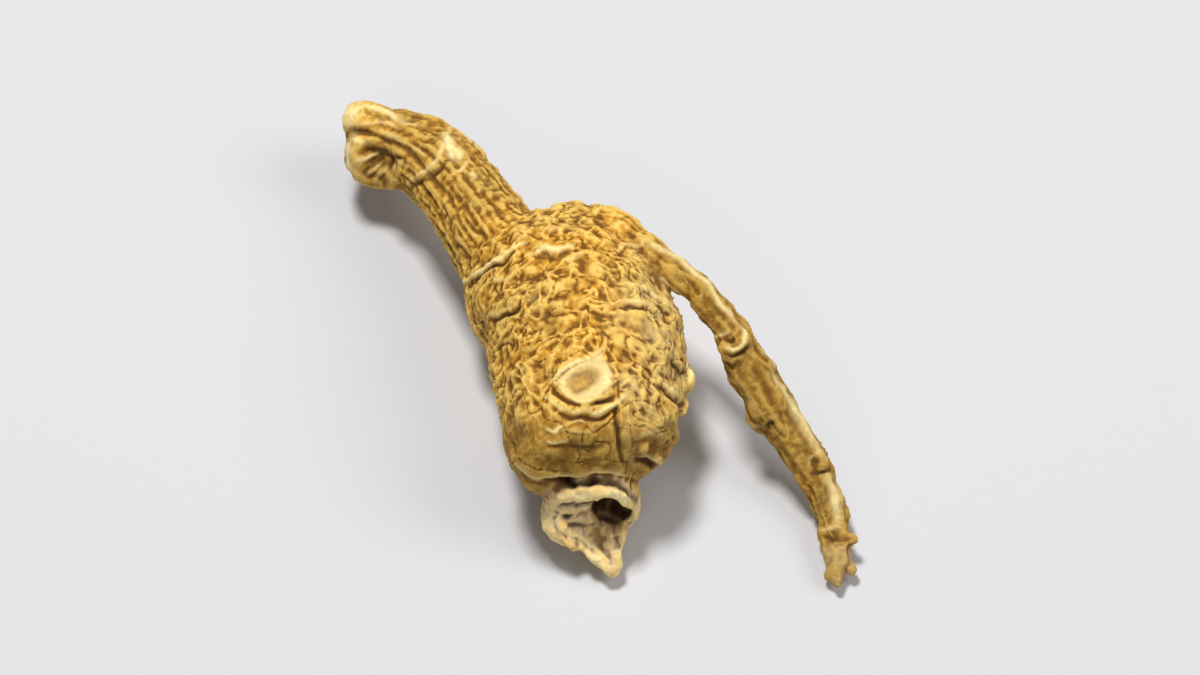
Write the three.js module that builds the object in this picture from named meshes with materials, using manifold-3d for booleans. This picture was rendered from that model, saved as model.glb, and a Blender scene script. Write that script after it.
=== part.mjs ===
// A small dried ginseng root, lying on its belly. Millimetres, +Z up.
// It grew as one piece, so it is one solid: a plump body with a ribbed neck that ends in a
// knobbly head, a broken tap-root stub, and one long knotty rootlet with a frayed end.
// Raised nets, ribs, folds, rings and scars are part of the skin, a little larger than life.

import * as THREE from 'three';
import { mergeVertices } from 'three/addons/utils/BufferGeometryUtils.js';
import Module from 'manifold-3d';

const wasm = await Module();
wasm.setup();

// Limbs. Each station is [x, y, z, radius] on the limb's axis, over the surface that it lies on.
const BODY = {
  stations: [
    [-6.9, 9.7, 7.0, 2.9],
    [-5.9, 8.5, 7.0, 3.45],
    [-4.3, 6.8, 6.8, 5.2],
    [-1.95, 4.2, 6.7, 6.4],
    [-0.1, 0.8, 6.6, 7.0],
    [0.55, -2.7, 6.6, 6.65],
    [0.45, -5.8, 6.6, 6.25],
    [0.2, -8.2, 6.7, 5.8],
    [0.25, -9.8, 6.8, 5.15],
    [0.6, -11.3, 6.9, 3.9],
  ],
  sides: 66,
  rings: 30,
  caps: [0.9, 1.3],
  undercut: { from: 0.62, share: 0.36 },
};
const NECK = {
  stations: [
    [-3.9, 6.0, 7.0, 3.0],
    [-5.9, 8.5, 7.1, 3.25],
    [-8.0, 12.4, 7.0, 2.95],
    [-10.3, 16.2, 6.2, 2.9],
    [-12.5, 18.4, 5.2, 2.85],
    [-14.6, 19.2, 4.4, 2.75],
    [-16.6, 19.4, 4.0, 2.3],
  ],
  sides: 42,
  rings: 18,
  caps: [0.8, 1.5],
};
const HEAD_LOBE = {
  stations: [
    [-13.0, 18.7, 5.4, 1.9],
    [-15.2, 19.9, 6.3, 1.55],
    [-16.9, 20.2, 6.6, 1.05],
  ],
  sides: 10,
  rings: 7,
  caps: [0.6, 1.0],
};
const STUB = {
  stations: [
    [0.7, -7.0, 5.2, 2.6],
    [0.6, -9.5, 4.5, 3.1],
    [0.55, -11.2, 4.0, 3.35],
    [0.55, -12.4, 3.9, 3.15],
  ],
  sides: 18,
  rings: 11,
  caps: [0.8, 0.5],
};
const TONGUE = {
  stations: [
    [1.0, -10.6, 2.8, 2.2],
    [1.4, -13.1, 2.0, 1.65],
    [1.85, -14.3, 1.4, 0.9],
    [1.9, -15.4, 1.1, 0.4],
  ],
  sides: 12,
  rings: 10,
  caps: [0.8, 0.4],
};
const ROOTLET = {
  stations: [
    [2.4, 7.5, 10.0, 1.3],
    [4.2, 6.2, 10.2, 1.1],
    [5.9, 4.7, 10.0, 1.05],
    [7.6, 3.4, 9.7, 1.05],
    [9.1, 1.6, 9.2, 1.1],
    [10.4, 0.0, 8.5, 1.2],
    [11.3, -1.8, 7.6, 1.45],
    [12.4, -3.1, 6.5, 1.55],
    [13.4, -4.4, 5.3, 1.45],
    [14.5, -5.7, 4.2, 1.3],
    [15.5, -7.1, 3.2, 1.2],
    [16.4, -8.6, 2.4, 1.05],
    [17.0, -9.9, 1.8, 0.95],
    [17.4, -11.5, 1.4, 0.9],
    [17.7, -13.5, 1.1, 0.95],
    [17.8, -14.8, 1.1, 0.8],
  ],
  sides: 10,
  rings: 38,
  caps: [0.8, 0.8],
};

// The frayed end of the rootlet: [start, tip] of each torn strand.
const STRANDS = [
  [[17.5, -13.6, 1.1], [16.9, -15.4, 0.9]],
  [[17.7, -13.8, 1.2], [17.8, -16.1, 1.1]],
  [[17.8, -13.6, 1.1], [18.7, -15.3, 0.9]],
  [[17.5, -12.2, 1.5], [19.2, -12.9, 2.0]],
];
const STRAND_RADIUS = 0.58;

// Relief, as heights over the skin.
const NET_CELL = 2.1;
const NET_HEIGHT = 0.5;
const NET_WIDTH = 0.45;
const RIB_COUNT = 9;
const RIB_HEIGHT = 0.36;
const COLLAR = { at: 0.66, width: 0.025, height: 0.45 };
const ROOTLET_RING_STEP = 0.075;
const ROOTLET_RING_HEIGHT = 0.28;

// The ring where the neck meets the body, and the scars. A scar faces out along its normal.
const NECK_RING = { centre: [-5.9, 8.5, 7.1], radius: 3.45, thickness: 0.3 };
const STEM_SCAR = {
  centre: [-14.5, 16.9, 6.0],
  normal: [-0.25, -0.72, 0.64],
  across: [1, 0, 0.3],
  radii: [2.0, 1.7],
  rim: 0.42,
  depth: 0.75,
};
const EYE_SCAR = {
  limb: BODY,
  along: 0.81,
  angle: 94,
  radii: [1.75, 1.25],
  rim: 0.36,
  depth: 0.5,
};

// The stub broke off in a hollow that leaves its tongue. Small pits are rotten cores.
const STUB_BREAK = { centre: [1.2, -14.0, 4.5], radius: 2.6 };
const PITS = [
  { centre: [-14.1, 17.3, 5.5], radius: 0.5 },
  { centre: [1.7, -11.3, 4.1], radius: 1.1 },
  { centre: [2.3, -11.5, 4.2], radius: 0.9 },
];

// Raised folds of the body's skin: each runs through points given as [how far along the body,
// angle in degrees]. 0 degrees is the right side, 90 the top and 180 the left.
const FOLDS = [
  { through: [[0.84, 122], [0.90, 108], [0.92, 86], [0.87, 70], [0.81, 60]], thickness: 0.42 },
  { through: [[0.95, 134], [0.965, 112], [0.97, 80]], thickness: 0.36 },
  { through: [[0.31, 154], [0.37, 138], [0.39, 122]], thickness: 0.38 },
  { through: [[0.27, 102], [0.31, 92], [0.34, 80]], thickness: 0.40 },
  { through: [[0.50, 62], [0.50, 44], [0.52, 26]], thickness: 0.40 },
  { through: [[0.73, 38], [0.73, 24], [0.70, 8]], thickness: 0.38 },
  { through: [[0.955, 48], [0.94, 36], [0.88, 14]], thickness: 0.38 },
  { through: [[0.42, 200], [0.46, 232], [0.42, 262]], thickness: 0.40 },
  { through: [[0.60, 288], [0.56, 318], [0.62, 348]], thickness: 0.38 },
];

// Knobs: [how far along the limb, angle in degrees, radius].
const BODY_KNOBS = [
  [0.65, 4, 0.75],
  [0.71, 358, 0.75],
  [0.95, 4, 0.85],
  [0.965, 24, 0.8],
  [0.38, 232, 0.7],
  [0.30, 320, 0.8],
];
const ROOTLET_KNOBS = [
  [0.40, 88, 0.75],
  [0.415, 132, 0.7],
  [0.565, 205, 0.85],
  [0.73, 66, 0.5],
];

const COLOUR = '#c89b4c';
const ROUGHNESS = 0.82;

const UP = new THREE.Vector3(0, 0, 1);

// A number from 0 to 1 that is always the same for the same cell and seed.
function hash(x, y, z, seed) {
  const mixed = Math.imul(x, 374761393) ^ Math.imul(y, 668265263) ^ Math.imul(z, 1440670441);
  const stirred = Math.imul(mixed ^ Math.imul(seed, 1274126177) ^ (mixed >>> 13), 1103515245);
  return ((stirred ^ (stirred >>> 16)) >>> 0) / 2 ** 32;
}

// Raised net: high where two seeded points of a jittered lattice are about equally near.
function net(point, cell, width) {
  const scaled = point.clone().divideScalar(cell);
  const home = scaled.clone().floor();
  const seedPoint = new THREE.Vector3();
  let nearest = Infinity;
  let second = Infinity;
  for (let step = 0; step < 27; step += 1) {
    const x = home.x + (step % 3) - 1;
    const y = home.y + (Math.floor(step / 3) % 3) - 1;
    const z = home.z + Math.floor(step / 9) - 1;
    seedPoint.set(x + hash(x, y, z, 1), y + hash(x, y, z, 2), z + hash(x, y, z, 3));
    const distance = seedPoint.distanceTo(scaled);
    if (distance < nearest) {
      second = nearest;
      nearest = distance;
    } else if (distance < second) {
      second = distance;
    }
  }
  return 1 - THREE.MathUtils.smoothstep(second - nearest, 0, width);
}

function bump(value, centre, width) {
  return Math.exp(-(((value - centre) / width) ** 2));
}

// The bare skin of a limb, at a distance from 0 to 1 along it and an angle round it: the point,
// the middle of the limb there, and the directions out of the skin and along the limb.
function skinOf(limb) {
  const curve = new THREE.CatmullRomCurve3(limb.stations.map(([x, y, z]) => new THREE.Vector3(x, y, z)));
  const radii = new THREE.SplineCurve(limb.stations.map((station, i) => new THREE.Vector2(i, station[3])));
  const length = curve.getLength();
  const [start, end] = limb.caps;
  const roundEnd = (distance, cap) => Math.sqrt(Math.max(0, 1 - (1 - Math.min(1, distance / cap)) ** 2));
  const { from, share } = limb.undercut ?? { from: 0, share: 0 };
  return (along, angle) => {
    const centre = curve.getPointAt(along);
    const tangent = curve.getTangentAt(along);
    const side = new THREE.Vector3().crossVectors(UP, tangent).normalize();
    const top = new THREE.Vector3().crossVectors(tangent, side);
    const out = side.multiplyScalar(Math.cos(angle)).addScaledVector(top, Math.sin(angle));
    const rounding = roundEnd(along * length, start) * roundEnd((1 - along) * length, end);
    const under = share * THREE.MathUtils.smoothstep(along, from, 1) * Math.max(0, -Math.sin(angle));
    const radius = radii.getPoint(curve.getUtoTmapping(along)).y * rounding * (1 - under);
    return { point: centre.clone().addScaledVector(out, radius), centre, out, tangent };
  };
}

// Where the rings of a limb lie: close together on its rounded ends, even between them.
function ringStops(limb) {
  const length = new THREE.CatmullRomCurve3(
    limb.stations.map(([x, y, z]) => new THREE.Vector3(x, y, z)),
  ).getLength();
  const [start, end] = limb.caps.map((cap) => cap / length);
  const roundRings = [0.3, 0.65, 1].map((turn) => 1 - Math.cos((turn * Math.PI) / 2));
  const middle = limb.rings - 2 * roundRings.length;
  const stops = roundRings.map((share) => share * start);
  for (let i = 1; i <= middle; i += 1) {
    stops.push(start + ((1 - start - end) * i) / (middle + 1));
  }
  return stops.concat(roundRings.reverse().map((share) => 1 - share * end));
}

// A closed skin round a limb's axis. Every other ring is turned by half a side.
function sweep(limb, relief) {
  const { sides } = limb;
  const skin = skinOf(limb);
  const stops = ringStops(limb);
  const positions = [...skin(0, 0).centre.toArray()];
  stops.forEach((along, ring) => {
    for (let i = 0; i < sides; i += 1) {
      const angle = (2 * Math.PI * (i + 0.5 * (ring % 2))) / sides;
      const { point, out } = skin(along, angle);
      const height = relief(point, along, angle);
      positions.push(...point.addScaledVector(out, height).toArray());
    }
  });
  positions.push(...skin(1, 0).centre.toArray());

  const at = (ring, i) => 1 + ring * sides + (i % sides);
  const last = stops.length - 1;
  const tip = 1 + stops.length * sides;
  const faces = [];
  for (let i = 0; i < sides; i += 1) {
    faces.push(0, at(0, i + 1), at(0, i));
    faces.push(tip, at(last, i), at(last, i + 1));
  }
  for (let ring = 0; ring < last; ring += 1) {
    for (let i = 0; i < sides; i += 1) {
      const [a, b] = [at(ring, i), at(ring, i + 1)];
      const [c, d] = [at(ring + 1, i), at(ring + 1, i + 1)];
      if (ring % 2 === 0) {
        faces.push(a, b, c, b, d, c);
      } else {
        faces.push(a, b, d, a, d, c);
      }
    }
  }
  const geometry = new THREE.BufferGeometry();
  geometry.setAttribute('position', new THREE.Float32BufferAttribute(positions, 3));
  geometry.setIndex(faces);
  return geometry;
}

function onSkin(limb, along, degrees) {
  return skinOf(limb)(along, THREE.MathUtils.degToRad(degrees));
}

function solid(geometry) {
  const bare = geometry.clone();
  bare.deleteAttribute('normal');
  bare.deleteAttribute('uv');
  const merged = mergeVertices(bare, 1e-4);
  return new wasm.Manifold(new wasm.Mesh({
    numProp: 3,
    vertProperties: new Float32Array(merged.attributes.position.array),
    triVerts: new Uint32Array(merged.index.array),
  }));
}

// Relief of each limb. Heights are never negative, so nothing sinks below the bare skin.
function bodyRelief(point, along) {
  const belly = THREE.MathUtils.smoothstep(point.z, 0.2, 2.5);
  const slack = 0.16 * (1 + Math.sin(1.3 * point.x + 0.9 * point.y + 2.1 * Math.sin(0.5 * point.z)));
  const ends = THREE.MathUtils.smoothstep(along, 0.02, 0.10);
  return belly * ends * (NET_HEIGHT * net(point, NET_CELL, NET_WIDTH) + slack);
}

function neckRelief(point, along, angle) {
  const wander = 0.5 * Math.sin(9 * along + Math.sin(2 * angle));
  const rib = Math.max(0, Math.cos(RIB_COUNT * angle + wander)) ** 0.7;
  const cross = 0.10 * (1 + Math.cos(95 * along + 1.5 * Math.sin(3 * angle)));
  const collar = COLLAR.height * bump(along, COLLAR.at + 0.02 * Math.sin(angle + 1), COLLAR.width);
  const knobbly = along > COLLAR.at ? 0.30 * net(point, 2.0, 0.35) : 0;
  return RIB_HEIGHT * rib * (along > COLLAR.at ? 0.5 : 1) + cross + collar + knobbly;
}

function rootletRelief(point, along, angle) {
  const phase = along / ROOTLET_RING_STEP + 0.25 * Math.sin(31 * along);
  const ring = Math.max(0, Math.cos(2 * Math.PI * phase + 0.9 * Math.sin(angle))) ** 3;
  const groove = 0.10 * (1 + Math.cos(4 * angle + 14 * along));
  return ROOTLET_RING_HEIGHT * ring + groove;
}

function stubRelief(point, along, angle) {
  const rib = 0.18 * (1 + Math.cos(6 * angle + 8 * along));
  return rib + 0.22 * net(point, 1.8, 0.35);
}

// A rim raised round an oval, and the shallow bowl inside it.
function scar({ centre, normal, across, radii, rim, depth }) {
  const out = new THREE.Vector3(...normal).normalize();
  const wide = new THREE.Vector3(...across);
  wide.addScaledVector(out, -wide.dot(out)).normalize();
  const high = new THREE.Vector3().crossVectors(out, wide);
  const place = new THREE.Matrix4().makeBasis(wide, high, out).setPosition(...centre);
  const [a, b] = radii;
  const torus = new THREE.TorusGeometry(1, rim / Math.sqrt(a * b), 5, 18).scale(a, b, Math.sqrt(a * b));
  const bowl = new THREE.SphereGeometry(1, 12, 8).scale(a * 0.94, b * 0.94, depth + rim * 0.6);
  bowl.translate(0, 0, rim * 0.6);
  return { rim: solid(torus.applyMatrix4(place)), bowl: solid(bowl.applyMatrix4(place)) };
}

function skinScar({ limb, along, angle, radii, rim, depth }) {
  const { point, out, tangent } = onSkin(limb, along, angle);
  const round = new THREE.Vector3().crossVectors(out, tangent);
  const centre = point.addScaledVector(out, 0.25).toArray();
  return scar({ centre, normal: out.toArray(), across: round.toArray(), radii, rim, depth });
}

function fold({ through, thickness }) {
  const route = new THREE.SplineCurve(through.map(([along, degrees]) => new THREE.Vector2(along, degrees)));
  const count = 7;
  const stations = [];
  for (let i = 0; i < count; i += 1) {
    const share = i / (count - 1);
    const hump = Math.sin(Math.PI * share);
    const place = route.getPoint(share);
    const { point, out } = onSkin(BODY, place.x, place.y);
    point.addScaledVector(out, 0.3 * hump - 0.05);
    stations.push([...point.toArray(), thickness * (0.55 + 0.45 * hump)]);
  }
  return solid(sweep({ stations, sides: 6, rings: 12, caps: [0.3, 0.3] }, () => 0));
}

function knob(limb, along, degrees, radius) {
  const { point, out, tangent } = onSkin(limb, along, degrees);
  const across = new THREE.Vector3().crossVectors(tangent, out);
  const place = new THREE.Matrix4().makeBasis(across, tangent, out).setPosition(point);
  const ball = new THREE.SphereGeometry(radius, 8, 6).scale(1, 1.35, 0.9);
  return solid(ball.applyMatrix4(place));
}

function strand(start, tip, index) {
  const middle = start.map((value, i) => (value + tip[i]) / 2 + (i === 0 ? 0.25 * (-1) ** index : 0));
  const stations = [
    [...start, STRAND_RADIUS],
    [...middle, STRAND_RADIUS * 0.8],
    [...tip, STRAND_RADIUS * 0.45],
  ];
  return solid(sweep({ stations, sides: 5, rings: 8, caps: [0.3, 0.3] }, () => 0));
}

function neckRing() {
  const { centre, radius, thickness } = NECK_RING;
  const direction = onSkin(NECK, 0.16, 0).tangent;
  const torus = new THREE.TorusGeometry(radius, thickness, 5, 30);
  torus.applyQuaternion(new THREE.Quaternion().setFromUnitVectors(UP, direction));
  return solid(torus.translate(...centre));
}

function hollow({ centre, radius }) {
  const segments = 8 + 2 * Math.round(radius);
  return solid(new THREE.SphereGeometry(radius, segments, segments - 2).translate(...centre));
}

function rootSolid() {
  const scars = [scar(STEM_SCAR), skinScar(EYE_SCAR)];
  const grown = [
    solid(sweep(BODY, bodyRelief)),
    solid(sweep(NECK, neckRelief)),
    solid(sweep(HEAD_LOBE, () => 0)),
    solid(sweep(STUB, stubRelief)),
    solid(sweep(TONGUE, () => 0)),
    solid(sweep(ROOTLET, rootletRelief)),
    neckRing(),
    ...FOLDS.map(fold),
    ...BODY_KNOBS.map((values) => knob(BODY, ...values)),
    ...ROOTLET_KNOBS.map((values) => knob(ROOTLET, ...values)),
    ...STRANDS.map(([start, tip], index) => strand(start, tip, index)),
    ...scars.map(({ rim }) => rim),
  ];
  const hollows = [...scars.map(({ bowl }) => bowl), ...[STUB_BREAK, ...PITS].map(hollow)];
  const whole = grown.reduce((sum, piece) => sum.add(piece));
  const hollowed = hollows.reduce((rest, piece) => rest.subtract(piece), whole);
  const below = new THREE.BoxGeometry(100, 100, 20).translate(0, 0, -10);
  return hollowed.subtract(solid(below));
}

// The origin is moved to the middle of the box round the root, on the surface it lies on.
function rootMesh() {
  const { numProp, vertProperties, triVerts } = rootSolid().getMesh();
  const geometry = new THREE.BufferGeometry();
  const positions = vertProperties.filter((value, i) => i % numProp < 3);
  geometry.setAttribute('position', new THREE.BufferAttribute(positions, 3));
  geometry.setIndex(new THREE.BufferAttribute(triVerts, 1));
  geometry.computeBoundingBox();
  const middle = geometry.boundingBox.getCenter(new THREE.Vector3());
  geometry.translate(-middle.x, -middle.y, 0);
  geometry.computeVertexNormals();
  const bark = new THREE.MeshStandardMaterial({ color: COLOUR, roughness: ROUGHNESS, metalness: 0 });
  const mesh = new THREE.Mesh(geometry, bark);
  mesh.name = 'ginseng_root';
  return mesh;
}

const root = new THREE.Group();
root.add(rootMesh());

export default root;
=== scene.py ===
"""Dress a small dried ginseng root: one grown piece with its wrinkled bark, on a plain floor."""

import logging
import math
from dataclasses import dataclass, field
from enum import Enum
from typing import Any, Sequence, Union

import bpy
import numpy as np
from mathutils import Euler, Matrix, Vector


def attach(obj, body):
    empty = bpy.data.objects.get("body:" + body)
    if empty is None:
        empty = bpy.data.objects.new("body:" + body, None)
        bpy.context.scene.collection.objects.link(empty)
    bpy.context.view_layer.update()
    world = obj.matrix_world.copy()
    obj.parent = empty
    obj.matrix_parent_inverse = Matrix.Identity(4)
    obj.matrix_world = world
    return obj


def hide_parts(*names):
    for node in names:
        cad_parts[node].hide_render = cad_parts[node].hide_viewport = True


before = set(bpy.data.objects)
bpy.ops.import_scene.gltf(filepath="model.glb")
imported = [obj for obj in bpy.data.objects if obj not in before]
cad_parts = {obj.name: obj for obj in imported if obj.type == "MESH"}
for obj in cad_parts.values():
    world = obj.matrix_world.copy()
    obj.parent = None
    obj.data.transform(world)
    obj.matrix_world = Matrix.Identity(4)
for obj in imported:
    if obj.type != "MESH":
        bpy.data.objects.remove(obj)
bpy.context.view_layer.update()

NODE = "ginseng_root"
BODY_NAME = "root"

# The root is laid out in millimetres, over the spot below, and moved to the part's origin last.
MM = 0.001
LAYOUT_MIDDLE = np.array((1.1562, 3.1501, 0.0))

log = logging.getLogger("ginseng")

Array = np.ndarray
Station = tuple[float, float, float, float]
Spot = tuple[float, float]


# Seeded patterns

def scatter(cell: Array, seed: int) -> Array:
    """Give each cell of a lattice its own number.

    Args:
        cell: Whole-number cells, one row of three for each.
        seed: Which of the many numberings is wanted.

    Returns:
        Numbers from 0 to 1.
    """
    x, y, z = (cell[..., axis].astype(np.int64) for axis in range(3))
    mixed = (x * 374761393 + y * 668265263 + z * 1440670441 + seed * 1274126177) & 0xFFFFFFFF
    mixed = ((mixed ^ (mixed >> 13)) * 1103515245) & 0xFFFFFFFF
    mixed = mixed ^ (mixed >> 16)
    return (mixed & 0xFFFFFF) / float(0x1000000)


def smoothstep(value: Array, low: float, high: float) -> Array:
    """Rise smoothly from 0 at low to 1 at high."""
    share = np.clip((value - low) / (high - low), 0.0, 1.0)
    return share * share * (3.0 - 2.0 * share)


def bump(value: Array, centre: float, width: Union[float, Array]) -> Array:
    """A rounded bump of height 1."""
    return np.exp(-(((value - centre) / width) ** 2))


def swell(points: Array, seed: int) -> Array:
    """Smooth noise from about -1 to 1 that changes over about one unit.

    Args:
        points: Where it is wanted, one row of three for each.
        seed: Which of the many noises is wanted.

    Returns:
        One value for each point.
    """
    home = np.floor(points)
    share = points - home
    fade = share ** 3 * (share * (6.0 * share - 15.0) + 10.0)
    total = np.zeros(len(points))
    for corner in np.ndindex(2, 2, 2):
        step = np.array(corner)
        slope = np.stack([scatter(home + step, seed + axis) for axis in range(3)], axis=1) - 0.5
        weight = np.prod(np.where(step == 1, fade, 1.0 - fade), axis=1)
        total += weight * (slope * (share - step)).sum(axis=1)
    return 4.0 * total


def warped(points: Array, amount: float, seed: int) -> Array:
    """Push points about by soft noise, so that a pattern on them wanders."""
    push = np.stack([swell(0.6 * points, seed + 10 * axis) for axis in range(3)], axis=1)
    return points + amount * push


def wrinkles(points: Array, width: float, seed: int, wander: float = 0.5) -> Array:
    """Wandering crests with long flanks, as shrunken skin has: 1 on a crest, near 0 far from one."""
    return 1.0 / (1.0 + (swell(warped(points, wander, seed + 50), seed) / width) ** 2)


# Curves

def through(points: Array, count: int) -> Array:
    """A smooth curve through points, as evenly timed samples.

    Args:
        points: The points to pass through, one row each.
        count: How many samples are wanted.

    Returns:
        The samples, one row each.
    """
    ends = np.vstack([2 * points[0] - points[1], points, 2 * points[-1] - points[-2]])
    time = np.linspace(0.0, len(points) - 1.0, count)
    piece = np.minimum(time.astype(int), len(points) - 2)
    share = (time - piece)[:, None]
    before, start, stop, after = (ends[piece + step] for step in range(4))
    pairs = ((before, start), (start, stop), (stop, after))
    first, middle, last = (np.sqrt(np.linalg.norm(b - a, axis=1))[:, None] for a, b in pairs)
    leave = ((start - before) / first - (stop - before) / (first + middle)) * middle + (stop - start)
    reach = ((after - stop) / last - (after - start) / (middle + last)) * middle + (stop - start)
    return (
        start
        + leave * share
        + (3 * (stop - start) - 2 * leave - reach) * share ** 2
        + (2 * (start - stop) + leave + reach) * share ** 3
    )


@dataclass(frozen=True)
class Sight:
    """The direction that the root is shown from, with a picture plane across it.

    In that plane u runs to the right and v upwards, in millimetres.

    Attributes:
        elevation: How far above the horizon it looks down from, in degrees.
        level: The height over the surface where v starts.
    """

    elevation: float = 55.0
    level: float = 7.0

    def towards(self) -> Array:
        """The direction from the root to the eye."""
        lean = math.radians(self.elevation)
        return np.array((0.0, -math.cos(lean), math.sin(lean)))

    def seen(self, points: Array) -> Array:
        """Where points lie in the picture plane, one row of u and v each.

        Args:
            points: The points, one row each.

        Returns:
            Their places, one row each.
        """
        lean = math.radians(self.elevation)
        height = points[:, 1] * math.sin(lean) + (points[:, 2] - self.level) * math.cos(lean)
        return np.stack([points[:, 0], height], axis=1)


SIGHT = Sight()


@dataclass(frozen=True)
class Stroke:
    """A raised line or a crease on the side of the skin that shows.

    Attributes:
        route: Places it runs through, in the picture plane.
        width: Its half width, on its steep side.
        height: How far it stands over the skin, or under it where this is below 0.
        tint: How pale it is, or how dark where this is below 0.
        gentle: How many times wider its gentle side is, which is on the left along the route.
    """

    route: tuple[Spot, ...]
    width: float
    height: float
    tint: float = 0.0
    gentle: float = 1.0

    def weights(self, seen: Array) -> tuple[Array, Array]:
        """How much the line raises and tints places: 1 on the line, 0 far from it and at its ends.

        Args:
            seen: The places, in the picture plane.

        Returns:
            The share of its height and the share of its tint at each place.
        """
        line = through(np.array(self.route), 14 * len(self.route))
        raised, tinted = np.zeros(len(seen)), np.zeros(len(seen))
        margin = 3.0 * self.width * self.gentle
        low, high = line.min(axis=0) - margin, line.max(axis=0) + margin
        near = np.flatnonzero(((seen > low) & (seen < high)).all(axis=1))
        if len(near) == 0:
            return raised, tinted
        gap = np.linalg.norm(seen[near][:, None] - line[None], axis=2)
        closest = gap.argmin(axis=1)
        distance = gap[np.arange(len(near)), closest]
        heading = np.gradient(line, axis=0)[closest]
        offset = seen[near] - line[closest]
        left = heading[:, 0] * offset[:, 1] - heading[:, 1] * offset[:, 0]
        taper = np.sin(math.pi * (closest + 1.5) / (len(line) + 2.0)) ** 0.5
        raised[near] = taper * bump(distance, 0.0, np.where(left > 0.0, self.gentle, 1.0) * self.width)
        tinted[near] = taper * bump(distance, 0.0, 0.9 * self.width)
        return raised, tinted


@dataclass
class Drawing:
    """What the strokes do to each point of the skin.

    Attributes:
        height: How far they raise it.
        pale: How pale they make it.
        dark: How dark they make it: painted shade in creases and gaps, and the eye scar's own brown patch.
        calm: How much they smooth away the bark's own relief.
    """

    height: Array
    pale: Array
    dark: Array
    calm: Array

    def add(self, stroke: Stroke, raised: Array, tinted: Array) -> None:
        """Add one stroke by its weights.

        Args:
            stroke: The stroke.
            raised: The share of its height at each point.
            tinted: The share of its tint at each point.
        """
        self.height = self.height + stroke.height * raised
        self.pale = np.maximum(self.pale, stroke.tint * tinted)
        self.dark = np.maximum(self.dark, -stroke.tint * tinted)
        self.calm = np.maximum(self.calm, 0.45 * raised)


# Shapes

@dataclass
class Shape:
    """A closed mesh in the making.

    Attributes:
        points: The vertices, one row each.
        faces: The faces, as lists of vertex numbers.
    """

    points: Array
    faces: list[list[int]]

    def placed(self, matrix: Array, centre: Sequence[float]) -> "Shape":
        """Turn the shape by a matrix of three columns and move it to a centre."""
        return Shape(self.points @ np.asarray(matrix).T + np.asarray(centre), self.faces)

    def mesh_object(self, name: str) -> bpy.types.Object:
        """Make a Blender object of the shape.

        Args:
            name: What the object and its mesh are called.

        Returns:
            The object, in the scene.
        """
        mesh = bpy.data.meshes.new(name)
        mesh.from_pydata(self.points.tolist(), [], self.faces)
        mesh.validate()
        thing = bpy.data.objects.new(name, mesh)
        bpy.context.scene.collection.objects.link(thing)
        return thing


def joined(shapes: Sequence[Shape]) -> Shape:
    """Put several shapes into one, without fusing them.

    Args:
        shapes: The shapes.

    Returns:
        One shape with all their faces.
    """
    points: list[Array] = []
    faces: list[list[int]] = []
    start = 0
    for shape in shapes:
        points.append(shape.points)
        faces.extend([[start + corner for corner in face] for face in shape.faces])
        start += len(shape.points)
    return Shape(np.vstack(points), faces)


def ring_faces(rings: int, sides: int) -> list[list[int]]:
    """Faces of a closed skin whose first and last vertices are its two poles.

    Args:
        rings: How many rings of vertices lie between the poles.
        sides: How many vertices a ring has.

    Returns:
        The faces, as lists of vertex numbers.
    """
    faces: list[list[int]] = []
    last = 1 + (rings - 1) * sides
    for turn in range(sides):
        following = (turn + 1) % sides
        faces.append([0, 1 + turn, 1 + following])
        faces.append([1 + rings * sides, last + following, last + turn])
        for ring in range(rings - 1):
            low = 1 + ring * sides
            high = low + sides
            faces.append([low + turn, high + turn, high + following, low + following])
    return faces


def ball(radii: Sequence[float], around: int = 28, high: int = 18) -> Shape:
    """A ball with its own radius along each axis.

    Args:
        radii: The three radii.
        around: How many sides it has.
        high: How many steps it has from top to bottom.

    Returns:
        The ball, about the origin.
    """
    points = [(0.0, 0.0, 1.0)]
    for level in range(1, high):
        lean = math.pi * level / high
        across = math.sin(lean)
        for turn in range(around):
            angle = 2 * math.pi * turn / around
            points.append((across * math.cos(angle), across * math.sin(angle), math.cos(lean)))
    points.append((0.0, 0.0, -1.0))
    return Shape(np.array(points) * np.asarray(radii), ring_faces(high - 1, around))


# Limbs

@dataclass
class Place:
    """Where surface points lie on one limb.

    Attributes:
        points: The points themselves.
        along: How far along the limb, from 0 to 1.
        angle: The angle round it, with 0 on the right and a quarter turn at the top.
        reach: The distance from the limb's axis.
        height: How far above the limb's bare skin.
        length: The limb's length.
    """

    points: Array
    along: Array
    angle: Array
    reach: Array
    height: Array
    length: float

    def rolled(self, around: float, lengthways: float) -> Array:
        """Coordinates for a pattern whose features are so wide round the limb and so long along it.

        Args:
            around: How wide they are.
            lengthways: How long they are.

        Returns:
            The coordinates, one row each.
        """
        return np.stack(
            [
                self.reach * np.cos(self.angle) / around,
                self.reach * np.sin(self.angle) / around,
                self.along * self.length / lengthways,
            ],
            axis=1,
        )


@dataclass(frozen=True)
class Pattern:
    """One layer of the bark's relief: smooth lumps, or narrow crests.

    Attributes:
        height: How high it stands, in millimetres, or how deep where this is below 0.
        size: How wide its features are, in millimetres, or how wide round the limb and how long along it.
        seed: Which of the many random patterns it is.
        thin: How narrow its crests are, or 0 for lumps.
        wander: How much its crests wander.
    """

    height: float
    size: Union[float, Spot]
    seed: int
    thin: float = 0.0
    wander: float = 0.5

    def at(self, place: Place) -> Array:
        """Its height at places on a limb.

        Args:
            place: The places.

        Returns:
            One height for each place.
        """
        spots = place.rolled(*self.size) if isinstance(self.size, tuple) else place.points / self.size
        if self.thin > 0.0:
            return self.height * wrinkles(spots, self.thin, self.seed, self.wander)
        return self.height * swell(spots, self.seed)


def layered(patterns: Sequence[Pattern], place: Place) -> Array:
    """The heights of several patterns together."""
    return sum(pattern.at(place) for pattern in patterns)


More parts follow.
